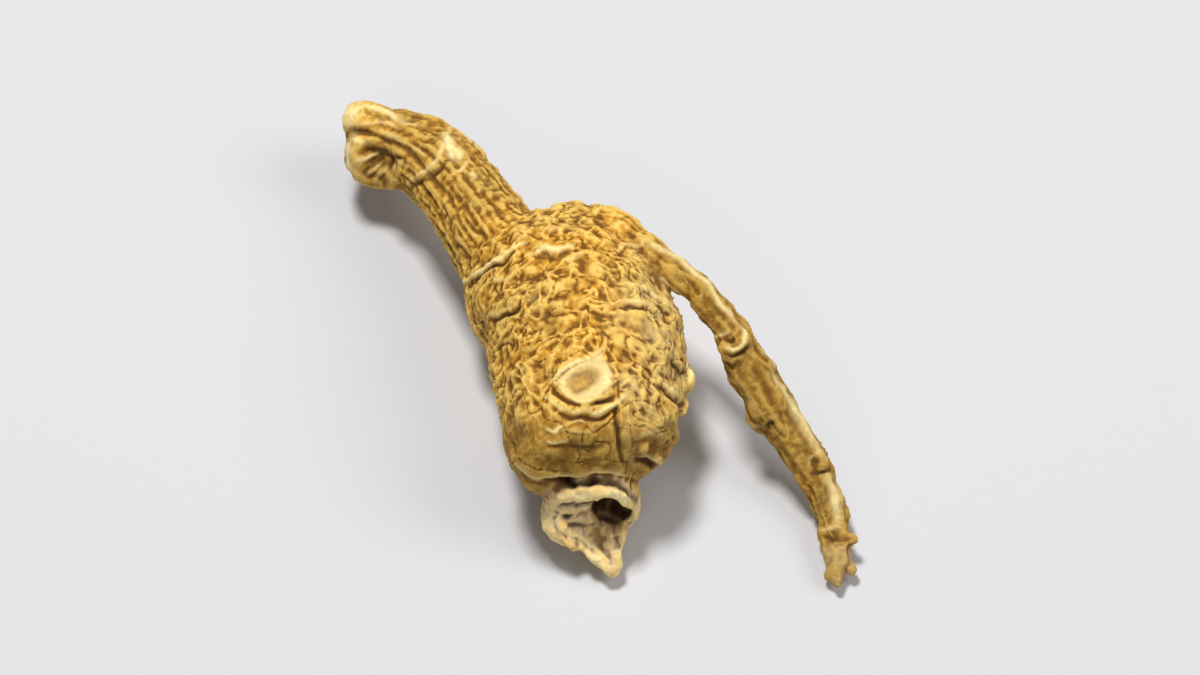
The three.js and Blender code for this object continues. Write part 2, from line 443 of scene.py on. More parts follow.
@dataclass
class Limb:
    """A part of the root that follows an axis.

    Attributes:
        stations: Points on the axis, each with the radius there.
        caps: The lengths over which the two ends are rounded.
        sides: How many sides the rough tube has.
        undercut: Where along the limb its underside starts to draw in, and by what share at the end.
        samples: How many points the axis is traced with.
        ring_step: How far apart the rough tube's rings are.
        bark: The relief that it has all over.
    """

    stations: tuple[Station, ...]
    caps: Spot = (0.8, 0.8)
    sides: int = 40
    undercut: Spot = (0.0, 0.0)
    samples: int = 400
    ring_step: float = 0.35
    bark: tuple[Pattern, ...] = (Pattern(0.10, 1.1, 11), Pattern(0.08, 0.8, 12, thin=0.15))

    def __post_init__(self) -> None:
        """Trace the axis at even steps, with the directions across it."""
        knots = np.array(self.stations)
        timed = through(knots[:, :3], 8 * self.samples)
        travelled = np.concatenate([[0.0], np.cumsum(np.linalg.norm(np.diff(timed, axis=0), axis=1))])
        self.length = float(travelled[-1])
        even = np.linspace(0.0, self.length, self.samples)
        self.centre = np.stack([np.interp(even, travelled, timed[:, axis]) for axis in range(3)], axis=1)
        self.tangent = np.gradient(self.centre, axis=0)
        self.tangent /= np.linalg.norm(self.tangent, axis=1)[:, None]
        self.side = np.cross((0.0, 0.0, 1.0), self.tangent)
        self.side /= np.linalg.norm(self.side, axis=1)[:, None]
        self.top = np.cross(self.tangent, self.side)
        time = np.interp(even, travelled, np.linspace(0.0, len(knots) - 1.0, len(timed)))
        girth = through(np.stack([np.arange(len(knots)), knots[:, 3]], axis=1), 8 * self.samples)
        self.radius = np.interp(time, np.linspace(0.0, len(knots) - 1.0, len(girth)), girth[:, 1])
        for travelled_here, cap in ((even, self.caps[0]), (self.length - even, self.caps[1])):
            self.radius = self.radius * np.sqrt(1.0 - (1.0 - np.minimum(1.0, travelled_here / cap)) ** 2)

    def at(self, along: Array, values: Array) -> Array:
        """Read traced values at places along the limb.

        Args:
            along: The places, from 0 to 1.
            values: What was traced: one value or one row for each sample.

        Returns:
            The value or row at each place.
        """
        steps = np.asarray(along) * (self.samples - 1)
        grid = np.arange(self.samples)
        if values.ndim == 1:
            return np.interp(steps, grid, values)
        return np.stack([np.interp(steps, grid, values[:, axis]) for axis in range(3)], axis=-1)

    def girth(self, along: Array, angle: Array) -> Array:
        """The bare skin's distance from the axis.

        Args:
            along: Places along the limb, from 0 to 1.
            angle: The angle round it of each.

        Returns:
            The distance at each place.
        """
        start, share = self.undercut
        drawn = share * smoothstep(along, start, 1.0) * np.maximum(0.0, -np.sin(angle))
        return self.at(along, self.radius) * (1.0 - drawn)

    def skin(self, along: Array, angle: Array) -> tuple[Array, Array, Array]:
        """Points of the bare skin, with the directions out of it and along the limb.

        Args:
            along: Places along the limb, from 0 to 1.
            angle: The angle round it of each.

        Returns:
            The points and the two directions, one row each.
        """
        along, angle = np.atleast_1d(along), np.atleast_1d(angle)
        right, up = (self.at(along, traced) for traced in (self.side, self.top))
        out = np.cos(angle)[:, None] * right + np.sin(angle)[:, None] * up
        points = self.at(along, self.centre) + out * self.girth(along, angle)[:, None]
        return points, out, self.at(along, self.tangent)

    def tube(self) -> Shape:
        """The limb as a rough closed tube.

        Returns:
            The tube, in the layout.
        """
        rings = max(12, int(self.length / self.ring_step))
        even = np.linspace(0.0, 1.0, rings + 2)[1:-1]
        stops = 0.5 * even + 0.25 * (1.0 - np.cos(math.pi * even))
        turns = np.linspace(0.0, 2 * math.pi, self.sides, endpoint=False)
        along, angle = (grid.ravel() for grid in np.meshgrid(stops, turns, indexing="ij"))
        points, _, _ = self.skin(along, angle)
        return Shape(np.vstack([self.centre[0], points, self.centre[-1]]), ring_faces(rings, self.sides))

    def place(self, points: Array) -> Place:
        """Find where surface points lie on the limb.

        Args:
            points: The surface points.

        Returns:
            Their places.
        """
        square = (points ** 2).sum(axis=1)[:, None] - 2 * points @ self.centre.T
        nearest = (square + (self.centre ** 2).sum(axis=1)).argmin(axis=1)
        offset = points - self.centre[nearest]
        slide = (offset * self.tangent[nearest]).sum(axis=1)
        along = np.clip(nearest / (self.samples - 1) + slide / self.length, 0.0, 1.0)
        right = (offset * self.side[nearest]).sum(axis=1)
        up = (offset * self.top[nearest]).sum(axis=1)
        angle = np.arctan2(up, right)
        reach = np.linalg.norm(points - self.at(along, self.centre), axis=1)
        return Place(points, along, angle, reach, reach - self.girth(along, angle), self.length)

    def relief(self, place: Place) -> Array:
        """How far the bark stands over the rough skin."""
        return layered(self.bark, place)


@dataclass
class PlumpBody(Limb):
    """The plump body, covered by a fine raised net of wrinkles.

    Attributes:
        grains: The net's grains.
        crests: The net's crests, which break off in the gaps of another pattern.
        pleats: Wrinkles that run round the body, broken in the same way.
        plainer: How far below the middle of the picture the net starts to fade, and where it has.
        faded: How much of the net is gone there.
    """

    bark: tuple[Pattern, ...] = (
        Pattern(0.24, 3.4, 61),
        Pattern(0.18, 1.5, 62),
        Pattern(-0.15, (1.9, 1.7), 41, thin=0.03, wander=1.0),
    )
    grains: tuple[Pattern, ...] = (Pattern(0.16, (1.0, 1.25), 63), Pattern(0.06, 0.5, 64))
    crests: Pattern = Pattern(0.17, 1.5, 21, thin=0.08, wander=1.0)
    crest_gaps: Pattern = Pattern(1.0, 1.8, 51)
    pleats: Pattern = Pattern(0.13, (1.7, 0.9), 26, thin=0.10, wander=0.8)
    pleat_gaps: Pattern = Pattern(1.0, 2.2, 52)
    plainer: Spot = (3.8, 5.5)
    faded: float = 0.6

    def relief(self, place: Place) -> Array:
        """Lumps and sparse grooves, with the net over them.

        Args:
            place: Places on the body.

        Returns:
            The height at each place.
        """
        net = layered(self.grains, place)
        net += self.crests.at(place) * smoothstep(self.crest_gaps.at(place), -0.3, 0.2)
        net += self.pleats.at(place) * smoothstep(self.pleat_gaps.at(place), -0.2, 0.3)
        below = -SIGHT.seen(place.points)[:, 1]
        return layered(self.bark, place) + net * (1.0 - self.faded * smoothstep(below, *self.plainer))


@dataclass
class RibbedNeck(Limb):
    """The neck, with long ribs crossed by fine rings, a collar, and a knobbly head.

    Attributes:
        ribs: Its long ribs.
        rings: The fine rings across them.
        knobs: The knobs of the head.
        collar: Where along the neck the head starts, and where it is all knobs.
    """

    bark: tuple[Pattern, ...] = (Pattern(0.16, 2.2, 65), Pattern(0.05, 0.45, 69))
    ribs: tuple[Pattern, ...] = (
        Pattern(0.12, (0.8, 12.0), 22, thin=0.12, wander=0.3),
        Pattern(0.22, (0.42, 3.6), 71),
    )
    rings: tuple[Pattern, ...] = (Pattern(0.10, (0.5, 0.6), 32), Pattern(-0.07, (2.4, 0.9), 37, thin=0.05))
    knobs: tuple[Pattern, ...] = (Pattern(0.20, (0.9, 2.6), 33), Pattern(0.10, 0.7, 73))
    collar: Spot = (0.59, 0.67)

    def relief(self, place: Place) -> Array:
        """Ribs and rings that give way to knobs beyond the collar.

        Args:
            place: Places on the neck.

        Returns:
            The height at each place.
        """
        head = smoothstep(place.along, *self.collar)
        lined = layered(self.ribs + self.rings, place) * (1.0 - 0.8 * head)
        return lined + layered(self.knobs, place) * head + layered(self.bark, place)


@dataclass
class TornStub(Limb):
    """The stub of the broken tap root, split lengthways into coarse fibres."""

    bark: tuple[Pattern, ...] = (
        Pattern(0.14, (0.5, 2.4), 23),
        Pattern(0.12, 1.3, 66),
        Pattern(0.08, 0.5, 34),
    )


@dataclass
class KnottyRootlet(Limb):
    """The long rootlet, with knots and faint rings on lengthways wrinkles.

    Attributes:
        rings: Its faint rings.
        ringed: Where along the rootlet the rings start, and where they are full.
    """

    bark: tuple[Pattern, ...] = (
        Pattern(0.12, (0.9, 4.0), 24, thin=0.10),
        Pattern(0.13, (0.6, 2.8), 74),
        Pattern(0.22, 1.4, 68),
        Pattern(0.05, 0.45, 70),
    )
    rings: Pattern = Pattern(0.05, (2.6, 1.0), 35, thin=0.05)
    ringed: Spot = (0.25, 0.5)

    def relief(self, place: Place) -> Array:
        """Lengthways wrinkles and lumps, with rings on the lower part."""
        return layered(self.bark, place) + self.rings.at(place) * smoothstep(place.along, *self.ringed)


@dataclass
class OvalScar:
    """An oval scar: a shallow bowl with a rim.

    Attributes:
        centre: Its middle on the skin.
        normal: The direction it faces.
        across: The direction of its longer axis.
        radii: Its half sizes.
        depth: The depth of its bowl.
    """

    centre: tuple[float, float, float]
    normal: tuple[float, float, float]
    across: tuple[float, float, float]
    radii: Spot
    depth: float

    def axes(self) -> Array:
        """Unit directions across, up and out of the scar, as columns.

        Returns:
            The three columns.
        """
        out = np.array(self.normal) / np.linalg.norm(self.normal)
        wide = np.array(self.across) - np.dot(self.across, out) * out
        wide /= np.linalg.norm(wide)
        return np.stack([wide, np.cross(out, wide), out], axis=1)

    def spread(self, points: Array) -> Array:
        """How far out from the middle points are: 1 at the rim, and much more off the scar.

        Args:
            points: The points.

        Returns:
            One distance for each point.
        """
        local = (points - np.array(self.centre)) @ self.axes()
        oval = np.sqrt((local[:, 0] / self.radii[0]) ** 2 + (local[:, 1] / self.radii[1]) ** 2)
        return oval + np.maximum(0.0, np.abs(local[:, 2]) - 1.5)

    def relief(self, points: Array, rim: float) -> Array:
        """The bowl and a rim of a height."""
        spread = self.spread(points) + 0.07 * swell(points / 0.9, 95)
        return rim * bump(spread, 1.0, 0.2) - self.depth * (1.0 - smoothstep(spread, 0.2, 0.9))


@dataclass(frozen=True)
class EyeScar:
    """A flat, eye-shaped scar on the side that shows, with a sunken brown patch.

    Attributes:
        corners: Its outline in the picture plane, against the clock, with no dents.
        middle: The middle of the patch.
        radii: The patch's half sizes, along its tilt and across it.
        tilt: How far the patch leans up to the right, in degrees.
        depth: How deep the patch is.
    """

    corners: tuple[Spot, ...]
    middle: Spot
    radii: Spot
    tilt: float
    depth: float

    def flat(self, seen: Array) -> Array:
        """1 on the scar and 0 off it, with a soft edge.

        Args:
            seen: Places in the picture plane.

        Returns:
            One share for each place.
        """
        start = np.array(self.corners)
        edge = np.roll(start, -1, axis=0) - start
        edge /= np.linalg.norm(edge, axis=1)[:, None]
        offset = seen[:, None] - start
        inside = (edge[:, 0] * offset[..., 1] - edge[:, 1] * offset[..., 0]).min(axis=1)
        return smoothstep(inside, -0.1, 0.2)

    def patch(self, seen: Array) -> Array:
        """1 in the middle of the sunken patch and 0 off it.

        Args:
            seen: Places in the picture plane.

        Returns:
            One share for each place.
        """
        lean = math.radians(self.tilt)
        offset = seen - np.array(self.middle)
        along = (offset @ (math.cos(lean), math.sin(lean))) / self.radii[0]
        across = (offset @ (-math.sin(lean), math.cos(lean))) / self.radii[1]
        return 1.0 - smoothstep(np.hypot(along, across), 0.55, 1.1)


@dataclass(frozen=True)
class Knob:
    """A small lump on a limb's skin: how far along it, the angle in degrees, and its radius."""

    along: float
    angle: float
    radius: float

    def shape(self, limb: Limb) -> Shape:
        """The lump, longer along the limb than round it.

        Args:
            limb: The limb that it sits on.

        Returns:
            The lump as a closed shell.
        """
        point, out, tangent = (value[0] for value in limb.skin(self.along, math.radians(self.angle)))
        matrix = np.stack([np.cross(tangent, out), tangent, out], axis=1)
        sizes = (self.radius, 1.35 * self.radius, 0.9 * self.radius)
        return ball(sizes, 18, 12).placed(matrix, point)


@dataclass(frozen=True)
class Fold:
    """A raised fold of the body's skin, with a crease on its lower side.

    Attributes:
        spots: Places it runs through, each how far along the body and the angle in degrees.
        height: How high the fold stands.
        crease: How deep the crease is.
        width: Its half width.
        apart: How many half widths the crease lies below the fold.
    """

    spots: tuple[Spot, ...]
    height: float = 0.32
    crease: float = 0.24
    width: float = 0.28
    apart: float = 1.7

    def relief(self, body: Limb, points: Array, tangent: Array) -> Array:
        """Heights of the fold at surface points, given the direction along the body there.

        Args:
            body: The body.
            points: The surface points.
            tangent: The direction along the body at each point.

        Returns:
            One height for each point.
        """
        route = through(np.array(self.spots), 40)
        line, _, _ = body.skin(route[:, 0], np.radians(route[:, 1]))
        gap = np.linalg.norm(points[:, None, :] - line[None], axis=2)
        nearest = gap.argmin(axis=1)
        distance = gap[np.arange(len(points)), nearest]
        below = ((points - line[nearest]) * tangent).sum(axis=1)
        taper = np.sin(math.pi * (nearest + 1.5) / (len(line) + 2.0)) ** 0.6
        side = np.sign(below) * distance
        raised = self.height * bump(side, 0.0, self.width)
        return taper * (raised - self.crease * bump(side, self.apart * self.width, self.width))


# Mesh work

def fused(shape: Shape, cutters: Sequence[Shape], voxel: float) -> Shape:
    """Fuse overlapping closed shells into one skin and cut hollows into it.

    Args:
        shape: The shells, in one shape.
        cutters: Closed shapes to take away.
        voxel: The size of the final faces.

    Returns:
        One closed skin of even faces.
    """
    whole = shape.mesh_object("rough_root")
    remesh(whole, voxel)
    for number, cutter in enumerate(cutters):
        tool = cutter.mesh_object(f"hollow_{number}")
        cut = whole.modifiers.new("cut", "BOOLEAN")
        cut.operation = "DIFFERENCE"
        cut.solver = "MANIFOLD"
        cut.object = tool
        settle(whole)
        discard(tool)
    remesh(whole, voxel)
    mesh = whole.data
    points = np.empty(3 * len(mesh.vertices))
    mesh.vertices.foreach_get("co", points)
    faces = [list(face.vertices) for face in mesh.polygons]
    discard(whole)
    return Shape(points.reshape(-1, 3), faces)


def remesh(thing: bpy.types.Object, voxel: float) -> None:
    """Give an object one even skin.

    Args:
        thing: The object.
        voxel: The size of its new faces.
    """
    even = thing.modifiers.new("even", "REMESH")
    even.mode = "VOXEL"
    even.voxel_size = voxel
    settle(thing)


def thin(thing: bpy.types.Object, limit: int) -> None:
    """Merge faces where the skin is flattest, until a number of triangles is left.

    Args:
        thing: The object, all of four-sided faces.
        limit: How many triangles it may have.
    """
    fewer = thing.modifiers.new("fewer", "DECIMATE")
    fewer.ratio = min(1.0, limit / (2 * len(thing.data.polygons)))
    settle(thing)


def settle(thing: bpy.types.Object) -> None:
    """Turn an object's modifiers into its mesh.

    Args:
        thing: The object.
    """
    seen = thing.evaluated_get(bpy.context.evaluated_depsgraph_get())
    mesh = bpy.data.meshes.new_from_object(seen)
    thing.modifiers.clear()
    old = thing.data
    thing.data = mesh
    bpy.data.meshes.remove(old)


def discard(thing: bpy.types.Object) -> None:
    """Remove a helper object and its mesh.

    Args:
        thing: The object.
    """
    mesh = thing.data
    bpy.data.objects.remove(thing)
    bpy.data.meshes.remove(mesh)


@dataclass
class Skin:
    """A closed skin whose points can be relaxed, lifted and measured."""

    points: Array
    faces: Array

    def __post_init__(self) -> None:
        """Find each edge once."""
        loop = np.concatenate([self.faces[:, [side, (side + 1) % 4]] for side in range(4)])
        self.edges = np.unique(np.sort(loop, axis=1), axis=0)
        self.degree = np.bincount(self.edges.ravel(), minlength=len(self.points)).astype(float)

    def averaged(self, values: Array) -> Array:
        """Average each value over its neighbours.

        Args:
            values: One row for each point.

        Returns:
            The averages, one row each.
        """
        start, stop = self.edges.T
        total = np.empty_like(values)
        for axis in range(values.shape[1]):
            column = values[:, axis]
            total[:, axis] = np.bincount(start, column[stop], len(values))
            total[:, axis] += np.bincount(stop, column[start], len(values))
        return total / self.degree[:, None]

    def relaxed(self, rounds: int, share: Union[float, Array] = 1.0) -> Array:
        """The points after rounds of smoothing, by a share at each point.

        Args:
            rounds: How many rounds.
            share: How much each point takes part, from 0 to 1.

        Returns:
            The smoothed points.
        """
        pull = 0.5 * np.broadcast_to(share, len(self.points))[:, None]
        points = self.points
        for _ in range(rounds):
            points = points + pull * (self.averaged(points) - points)
        return points

    def normals(self) -> Array:
        """Unit directions out of the skin.

        Returns:
            One row for each point.
        """
        corners = self.points[self.faces]
        across = np.cross(corners[:, 2] - corners[:, 0], corners[:, 3] - corners[:, 1])
        total = np.zeros_like(self.points)
        for side in range(4):
            for axis in range(3):
                total[:, axis] += np.bincount(self.faces[:, side], across[:, axis], len(self.points))
        return total / np.maximum(np.linalg.norm(total, axis=1), 1e-12)[:, None]

    def lifted(self, height: Array) -> Array:
        """The points after moving each out of the skin by a height."""
        return self.points + self.normals() * height[:, None]

    def prominence(self, rounds: int) -> Array:
        """How far each point stands over the same skin smoothed, in millimetres."""
        return ((self.points - self.relaxed(rounds)) * self.normals()).sum(axis=1)


# Finishes

Feed = Union["Wire", float, tuple]


class Wire:
    """A shader socket whose arithmetic adds Math nodes."""

    def __init__(self, shader: "Shader", socket: bpy.types.NodeSocket) -> None:
        """Wrap a socket of a shader."""
        self.shader = shader
        self.socket = socket

    def _math(self, operation: str, first: Feed, second: Feed) -> "Wire":
        """Add one Math node."""
        return self.shader.node("ShaderNodeMath", {"operation": operation}, {0: first, 1: second})

    def __add__(self, other: Feed) -> "Wire":
        """Sum."""
        return self._math("ADD", self, other)

    def __radd__(self, other: Feed) -> "Wire":
        """Sum, with the wire on the right."""
        return self._math("ADD", other, self)

    def __sub__(self, other: Feed) -> "Wire":
        """Difference."""
        return self._math("SUBTRACT", self, other)

    def __rsub__(self, other: Feed) -> "Wire":
        """Difference, with the wire on the right."""
        return self._math("SUBTRACT", other, self)

    def __mul__(self, other: Feed) -> "Wire":
        """Product."""
        return self._math("MULTIPLY", self, other)

    def __rmul__(self, other: Feed) -> "Wire":
        """Product, with the wire on the right."""
        return self._math("MULTIPLY", other, self)

    def limited(self, low: float, high: float) -> "Wire":
        """Stretch low..high over 0..1, smoothly, and hold it there."""
        sockets = {"Value": self, "From Min": low, "From Max": high}
        return self.shader.node("ShaderNodeMapRange", {"interpolation_type": "SMOOTHSTEP"}, sockets)


class Shader:
    """Builds one material's nodes."""

    def __init__(self, name: str) -> None:
        """Start a material with an empty node tree.

        Args:
            name: The material's name.
        """
        self.material = bpy.data.materials.new(name)
        self.material.use_nodes = True
        self.tree = self.material.node_tree
        self.tree.nodes.clear()

    def node(self, kind: str, settings: dict[str, Any], sockets: dict[Any, Feed], output: Any = 0) -> Wire:
        """Add a node.

        Args:
            kind: The node's type.
            settings: Its own settings, set before its sockets.
            sockets: Values or wires for its inputs, by name or number.
            output: Which output is wanted.

        Returns:
            The wire from that output.
        """
        node = self.tree.nodes.new(kind)
        for name, value in settings.items():
            setattr(node, name, value)
        for name, value in sockets.items():
            if isinstance(value, Wire):
                self.tree.links.new(value.socket, node.inputs[name])
            else:
                node.inputs[name].default_value = value
        return Wire(self, node.outputs[output])

    def mixed(self, share: Feed, low: Feed, high: Feed, blend: str = "MIX") -> Wire:
        """Mix two colours."""
        settings = {"data_type": "RGBA", "blend_type": blend}
        return self.node("ShaderNodeMix", settings, {0: share, 6: low, 7: high}, 2)

    def noise(self, size_mm: float, detail: float = 3.0) -> Wire:
        """Noise from 0 to 1 with features of a size in millimetres.

        Args:
            size_mm: How large its features are.
            detail: How much finer noise lies over them.

        Returns:
            The wire from the noise.
        """
        place = self.node("ShaderNodeTexCoord", {}, {}, "Object")
        sockets = {"Vector": place, "Scale": 1.0 / (size_mm * MM), "Detail": detail}
        return self.node("ShaderNodeTexNoise", {}, sockets)

    def attribute(self, name: str) -> Wire:
        """A value stored on the mesh's points."""
        return self.node("ShaderNodeAttribute", {"attribute_name": name}, {}, "Fac")

    def finished(self, sockets: dict[Any, Feed]) -> bpy.types.Material:
        """Close the material with one Principled surface.

        Args:
            sockets: Values or wires for the surface's inputs.

        Returns:
            The material.
        """
        surface = self.node("ShaderNodeBsdfPrincipled", {}, sockets)
        target = self.tree.nodes.new("ShaderNodeOutputMaterial")
        self.tree.links.new(surface.socket, target.inputs["Surface"])
        return self.material


class Mark(Enum):
    """Values stored on the root's points, which its bark reads, some of them masks of painted shade and
    painted highlight.
    """

    # How high the skin stands, which gives pale crests and dark crevices: partly the bark's own colour,
    # partly painted highlight and painted shade.
    CREST = "crest"
    # Painted shade: near black in the deep hollows of the skin.
    HOLLOW_SHADE = "hollow"
    TORN = "torn"
    PALE = "pale"
    # Painted shade in creases, gaps and pits, with the eye scar's own brown patch.
    DARK = "dark"
    OLIVE = "olive"
    # Painted shade: darker brown over the lower body, the neck and the far rootlet.
    BROWN = "brown"


@dataclass(frozen=True)
class Bark:
    """Dry ginseng bark: golden ochre, pale on its breaks; pale crests and brown creases, partly its own
    colour and partly painted highlight and painted shade; painted shade in its hollows, gaps and pits and
    over the lower body, neck and far rootlet.

    Attributes:
        broad_mm: The size of the broad changes from gold to straw.
        patch_mm: The size of the brown patches.
        fleck_mm: The size of the flecks that break up crests and creases.
        grain_mm: The size of the grain.
        pore_mm: The size of the finest pores.
        bump_depth: How deep grain and pores are, in metres.
    """

    gold: tuple = (0.61, 0.285, 0.026, 1.0)
    straw: tuple = (0.55, 0.31, 0.055, 1.0)
    olive: tuple = (0.68, 0.50, 0.20, 1.0)
    # brown: used as painted shade over the lower body, neck and far rootlet, and for the bark's own brown
    # patches.
    brown: tuple = (0.255, 0.132, 0.018, 1.0)
    # umber: dark crevices, partly the bark's own brown and partly painted shade.
    umber: tuple = (0.16, 0.066, 0.010, 1.0)
    # crease: near black, used as painted shade in deep hollows, in the gap under the lip and in the pits.
    crease: tuple = (0.040, 0.016, 0.005, 1.0)
    # crest: pale ridge tops, partly the bark's own paler crests and partly painted highlight.
    crest: tuple = (0.84, 0.55, 0.13, 1.0)
    cream: tuple = (0.99, 0.82, 0.39, 1.0)
    tan: tuple = (0.86, 0.68, 0.42, 1.0)
    rough_low: float = 0.55
    rough_high: float = 0.85
    shine: float = 0.15
    broad_mm: float = 5.0
    patch_mm: float = 1.8
    fleck_mm: float = 0.9
    grain_mm: float = 0.35
    pore_mm: float = 0.12
    bump_depth: float = 0.00009

    def material(self) -> bpy.types.Material:
        """Build the bark.

        Returns:
            The material.
        """
        shader = Shader("dry_ginseng_bark")
        broad = shader.noise(self.broad_mm, 2.0)
        patch = shader.noise(self.patch_mm, 4.0)
        grain = shader.noise(self.grain_mm, 4.0)
        flecks = shader.noise(self.fleck_mm, 3.0)
        crest, hollow, torn, pale, dark, olive, brown_shade = (shader.attribute(mark.value) for mark in Mark)
        mottled = patch.limited(0.35, 0.65)
        colour = shader.mixed(broad.limited(0.38, 0.62), self.gold, self.straw)
        colour = shader.mixed(olive * patch.limited(0.2, 0.7), colour, self.olive)
        # Painted shade: brown over the lower body, the neck and the far rootlet.
        colour = shader.mixed(brown_shade * (0.70 + 0.28 * mottled), colour, self.brown)
        colour = shader.mixed(patch.limited(0.48, 0.75) * 0.5, colour, self.brown)
        colour = shader.mixed(torn * (0.45 + 0.5 * mottled), colour, self.tan)
        # Pale crests are partly painted highlight and dark crevices partly painted shade, over the bark's
        # own paler ridges and browner creases.
        height = crest + 0.5 * (grain - 0.5) + 0.9 * (flecks - 0.5)
        raised = height.limited(0.46, 0.98) * (0.95 - 0.6 * brown_shade - 0.3 * torn)
        crevice_brown_and_shade = (1.0 - height).limited(0.44, 0.96) * (0.95 - 0.15 * brown_shade - 0.35 * torn)
        layers = (
            (raised, self.crest),
            (crevice_brown_and_shade, self.umber),
            (pale, self.cream),
            # Painted shade: near black in the deep hollows.
            (hollow, self.crease),
            # Painted shade in creases, gaps and pits, with the eye scar's own brown patch.
            (dark, self.crease),
        )
        for share, paint in layers:
            colour = shader.mixed(share, colour, paint)
        shade = 0.72 + 0.56 * grain
        tint = shader.node("ShaderNodeCombineColor", {}, {0: shade, 1: shade, 2: shade})
        colour = shader.mixed(1.0, colour, tint, "MULTIPLY")
        relief = shader.noise(self.pore_mm, 3.0) + grain
        bumps = {"Strength": 0.6, "Distance": self.bump_depth, "Height": relief}
        return shader.finished({
            "Base Color": colour,
            "Roughness": self.rough_low + (self.rough_high - self.rough_low) * patch,
            "Normal": shader.node("ShaderNodeBump", {}, bumps),
            "Specular IOR Level": self.shine,
        })


@dataclass(frozen=True)
class Floor:
    """A plain pale floor."""

    colour: tuple = (0.61, 0.61, 0.62, 1.0)
    half_width: float = 1.5
    drop: float = 0.00002
    roughness: float = 0.9

    def build(self) -> bpy.types.Object:
        """Lay the floor just under the root.

        Returns:
            The floor.
        """
        half = self.half_width
        corners = np.array([(-half, -half), (half, -half), (half, half), (-half, half)])
        points = np.column_stack([corners, np.full(4, -self.drop)])
        thing = Shape(points, [[0, 1, 2, 3]]).mesh_object("floor")
        finish = Shader("pale_floor").finished({"Base Color": self.colour, "Roughness": self.roughness})
        thing.data.materials.append(finish)
        return thing


# The root

# The steep side takes this share of a ridge's width, the gentle side is so many times wider than
# the steep one, and the ridge stands this share of its height over the rough skin.
STEEP_SHARE = 0.55
GENTLE_SIDE = 3.5
STANDING_SHARE = 0.5


def ridge(*route: Spot, width: float = 0.22, height: float = 0.22, pale: float = 0.5) -> Stroke:
    """A raised pale line that falls off gently on one side."""
    return Stroke(route, STEEP_SHARE * width, STANDING_SHARE * height, pale, GENTLE_SIDE)


def streak(*route: Spot, width: float = 0.36, height: float = 0.04, pale: float = 0.8) -> Stroke:
    """A wide pale streak that hardly stands out."""
    return Stroke(route, width, height, pale)


def crease(*route: Spot, width: float = 0.18, depth: float = 0.26, dark: float = 0.7) -> Stroke:
    """A sunken line, darkened partly as the bark's own brown and partly as painted shade in the crease."""
    return Stroke(route, width, -depth, -dark)


